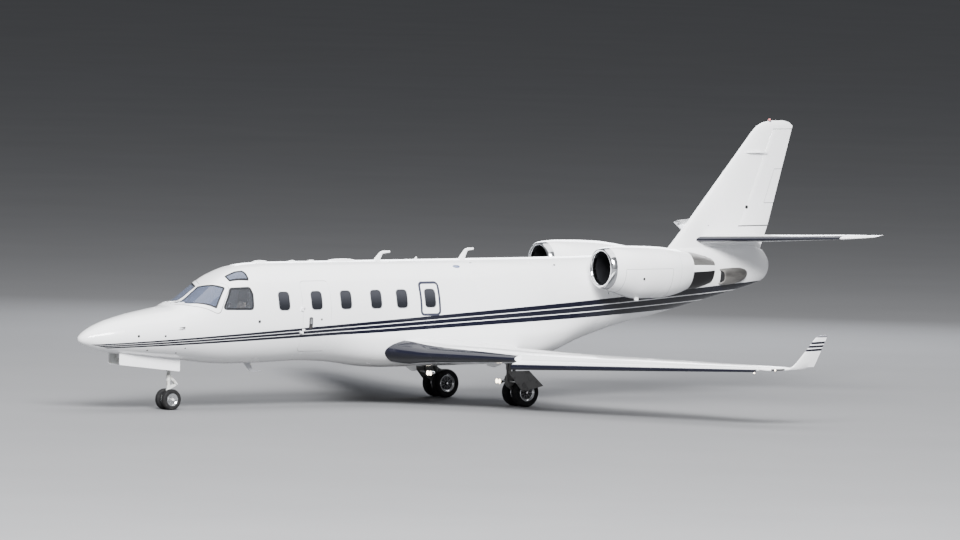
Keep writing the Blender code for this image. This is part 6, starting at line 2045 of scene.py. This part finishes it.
lamp_blue = finish("lamp_smoked", (0.10, 0.13, 0.24), 0.12, Coat_Weight=1.0)
for side, word in SIDES:
    spot = at(8.54, side * 0.40, hull_top(8.54, 0.40))
    out = hull_normal(spot)
    along = Vector((1, 0, 0))
    over = out.cross(along).normalized()
    rings = []
    for grow, h in ((1.0, -0.01), (1.0, 0.003), (0.8, 0.007)):
        rings.append([spot + out * h + along * 0.085 * grow * c + over * 0.045 * grow * s
            for c, s in circle(32)])
    settle(f"wing_light_{word}", skin(rings), lamp_blue, slot="smoked_glass", angle=40)
    spot = at(10.86, side * 0.40, hull_top(10.86, 0.40))
    out = hull_normal(spot)
    bm = button(spot + Vector((-0.02, 0, 0)), out, 0.030, 0.014)
    settle(f"vent_cover_{word}", bm, paint_white, angle=40)
    # Painted shade: the vent's opening is a dark disc.
    bm = button(spot + Vector((0.03, 0, 0)), out, 0.024, 0.004)
    settle(f"vent_opening_{word}", bm, dark_metal_and_painted_shade, angle=40)
# Painted shade: the crown ports are dark discs for their holes.
bm = bmesh.new()
for x in (8.925, 8.955):
    spot = at(x, -0.305, hull_top(x, 0.305))
    button(spot, hull_normal(spot), 0.013, 0.003, bm=bm)
settle("crown_ports", bm, dark_metal_and_painted_shade, angle=40)

for side, word in SIDES:
    bm = pipe([(10.69, side * 8.045, 1.122), (10.72, side * 8.062, 1.122), (10.80, side * 8.088, 1.124),
        (10.90, side * 8.112, 1.128), (10.95, side * 8.12, 1.133)], 0.024, 16, taper=0.014)
    settle(f"tip_lens_{word}", bm, dark_metal_and_painted_shade, slot="smoked_glass", angle=60)
    bm = bmesh.new()
    for x, y, z, size in ((10.755, 8.08, 1.122, 1.0), (10.355, 7.95, 1.065, 0.7)):
        turned([(a * size, r * size) for a, r in ((-0.022, 0.0), (-0.018, 0.012), (0.0, 0.020),
            (0.018, 0.012), (0.022, 0.0))], (x, side * y, z), "X", 16, bm=bm)
    settle(f"tip_lamps_{word}", bm, lamp_warm, slot="smoked_glass", angle=60)
print(len(made), "pieces so far")

# %% [markdown]
# ## Tail fittings
#
# The beacon is turned. The duct low on the tail is a loft that sinks into the hull,
# with a dark disc set a little inside its rim as painted shade for the depth of the duct.

# %% Tail fittings
BEACON_X = 16.37
bm = turned([(5.485, 0.0), (5.485, 0.040), (5.503, 0.040), (5.506, 0.032), (5.506, 0.0)], (BEACON_X, 0, 0),
    "Z", 32)
settle("beacon_base", bm, bright_metal, angle=40)
bm = turned([(5.506, 0.0), (5.506, 0.029), (5.520, 0.028), (5.532, 0.021), (5.5385, 0.010), (5.5398, 0.0)],
    (BEACON_X, 0, 0), "Z", 32)
settle("beacon_lens", bm, lens_red, slot="white_paint", angle=50)
for side, word in SIDES:
    z = 4.87
    outline = [(x, fin_side(x, z) + rise) for x, rise in ((15.70, -0.01), (16.12, -0.01), (16.14, 0.035),
        (16.29, 0.045), (16.26, 0.06), (16.10, 0.07), (15.84, 0.06))]
    bm = prism([(x, side * y) for x, y in soften(outline, 0.02, 3)], z - 0.008, z + 0.008, "Z")
    settle(f"fin_blade_{word}", bm, paint_white, angle=40)
    bm = bmesh.new()
    for x, level, size in ((15.80, 3.775, 0.036), (14.84, 3.42, 0.010)):
        button(at(x, side * fin_side(x, level), level), Vector((0, side, 0)), size, 0.004, bm=bm)
    settle(f"fin_marks_{word}", bm, black_trim_and_hole_shade, angle=40)

rings = []
DUCT = ((15.15, 0.085, 2.29, 2.52, 0.9), (15.015, 0.090, 2.28, 2.525, 0.9),
    (15.005, 0.105, 2.265, 2.54, 0.9), (15.04, 0.115, 2.242, 2.56, 0.8), (15.18, 0.120, 2.235, 2.57, 0.4),
    (15.39, 0.112, 2.25, 2.577, 0.0), (15.58, 0.094, 2.285, 2.57, 0.0), (15.70, 0.062, 2.34, 2.54, 0.0),
    (15.755, 0.03, 2.40, 2.505, 0.0))
for x, half_y, low, high, slant in DUCT:
    middle, half_z = (low + high) / 2, (high - low) / 2
    y = -hull_side(x, middle) + 0.012
    ring = []
    for c, s in circle(36):
        across = half_y * squarish(c, 0.8)
        ring.append(at(x - slant * across, y + across, middle + half_z * squarish(s, 0.7)))
    rings.append(ring)
hull_tool = skin([hull_ring(x, 0.012, 64) for x in spread(14.6, 16.0, 0.1)])
# Painted shade: a near-black disc a little inside the duct's rim stands for its dark depth.
shade_disc = skin([[p + Vector((dx, 0, 0)) for p in between(rings[1], [sum(rings[1], Vector()) / 36] * 36, 0.03)]
    for dx in (0.03, 0.04)])
settle("tail_duct", carved(skin(rings), (CUT, hull_tool)), scoop_metal, replaces=("tail_scoop",), angle=40)
settle("tail_duct_shade_disc", shade_disc, black_trim_and_hole_shade)
print(len(made), "pieces so far")
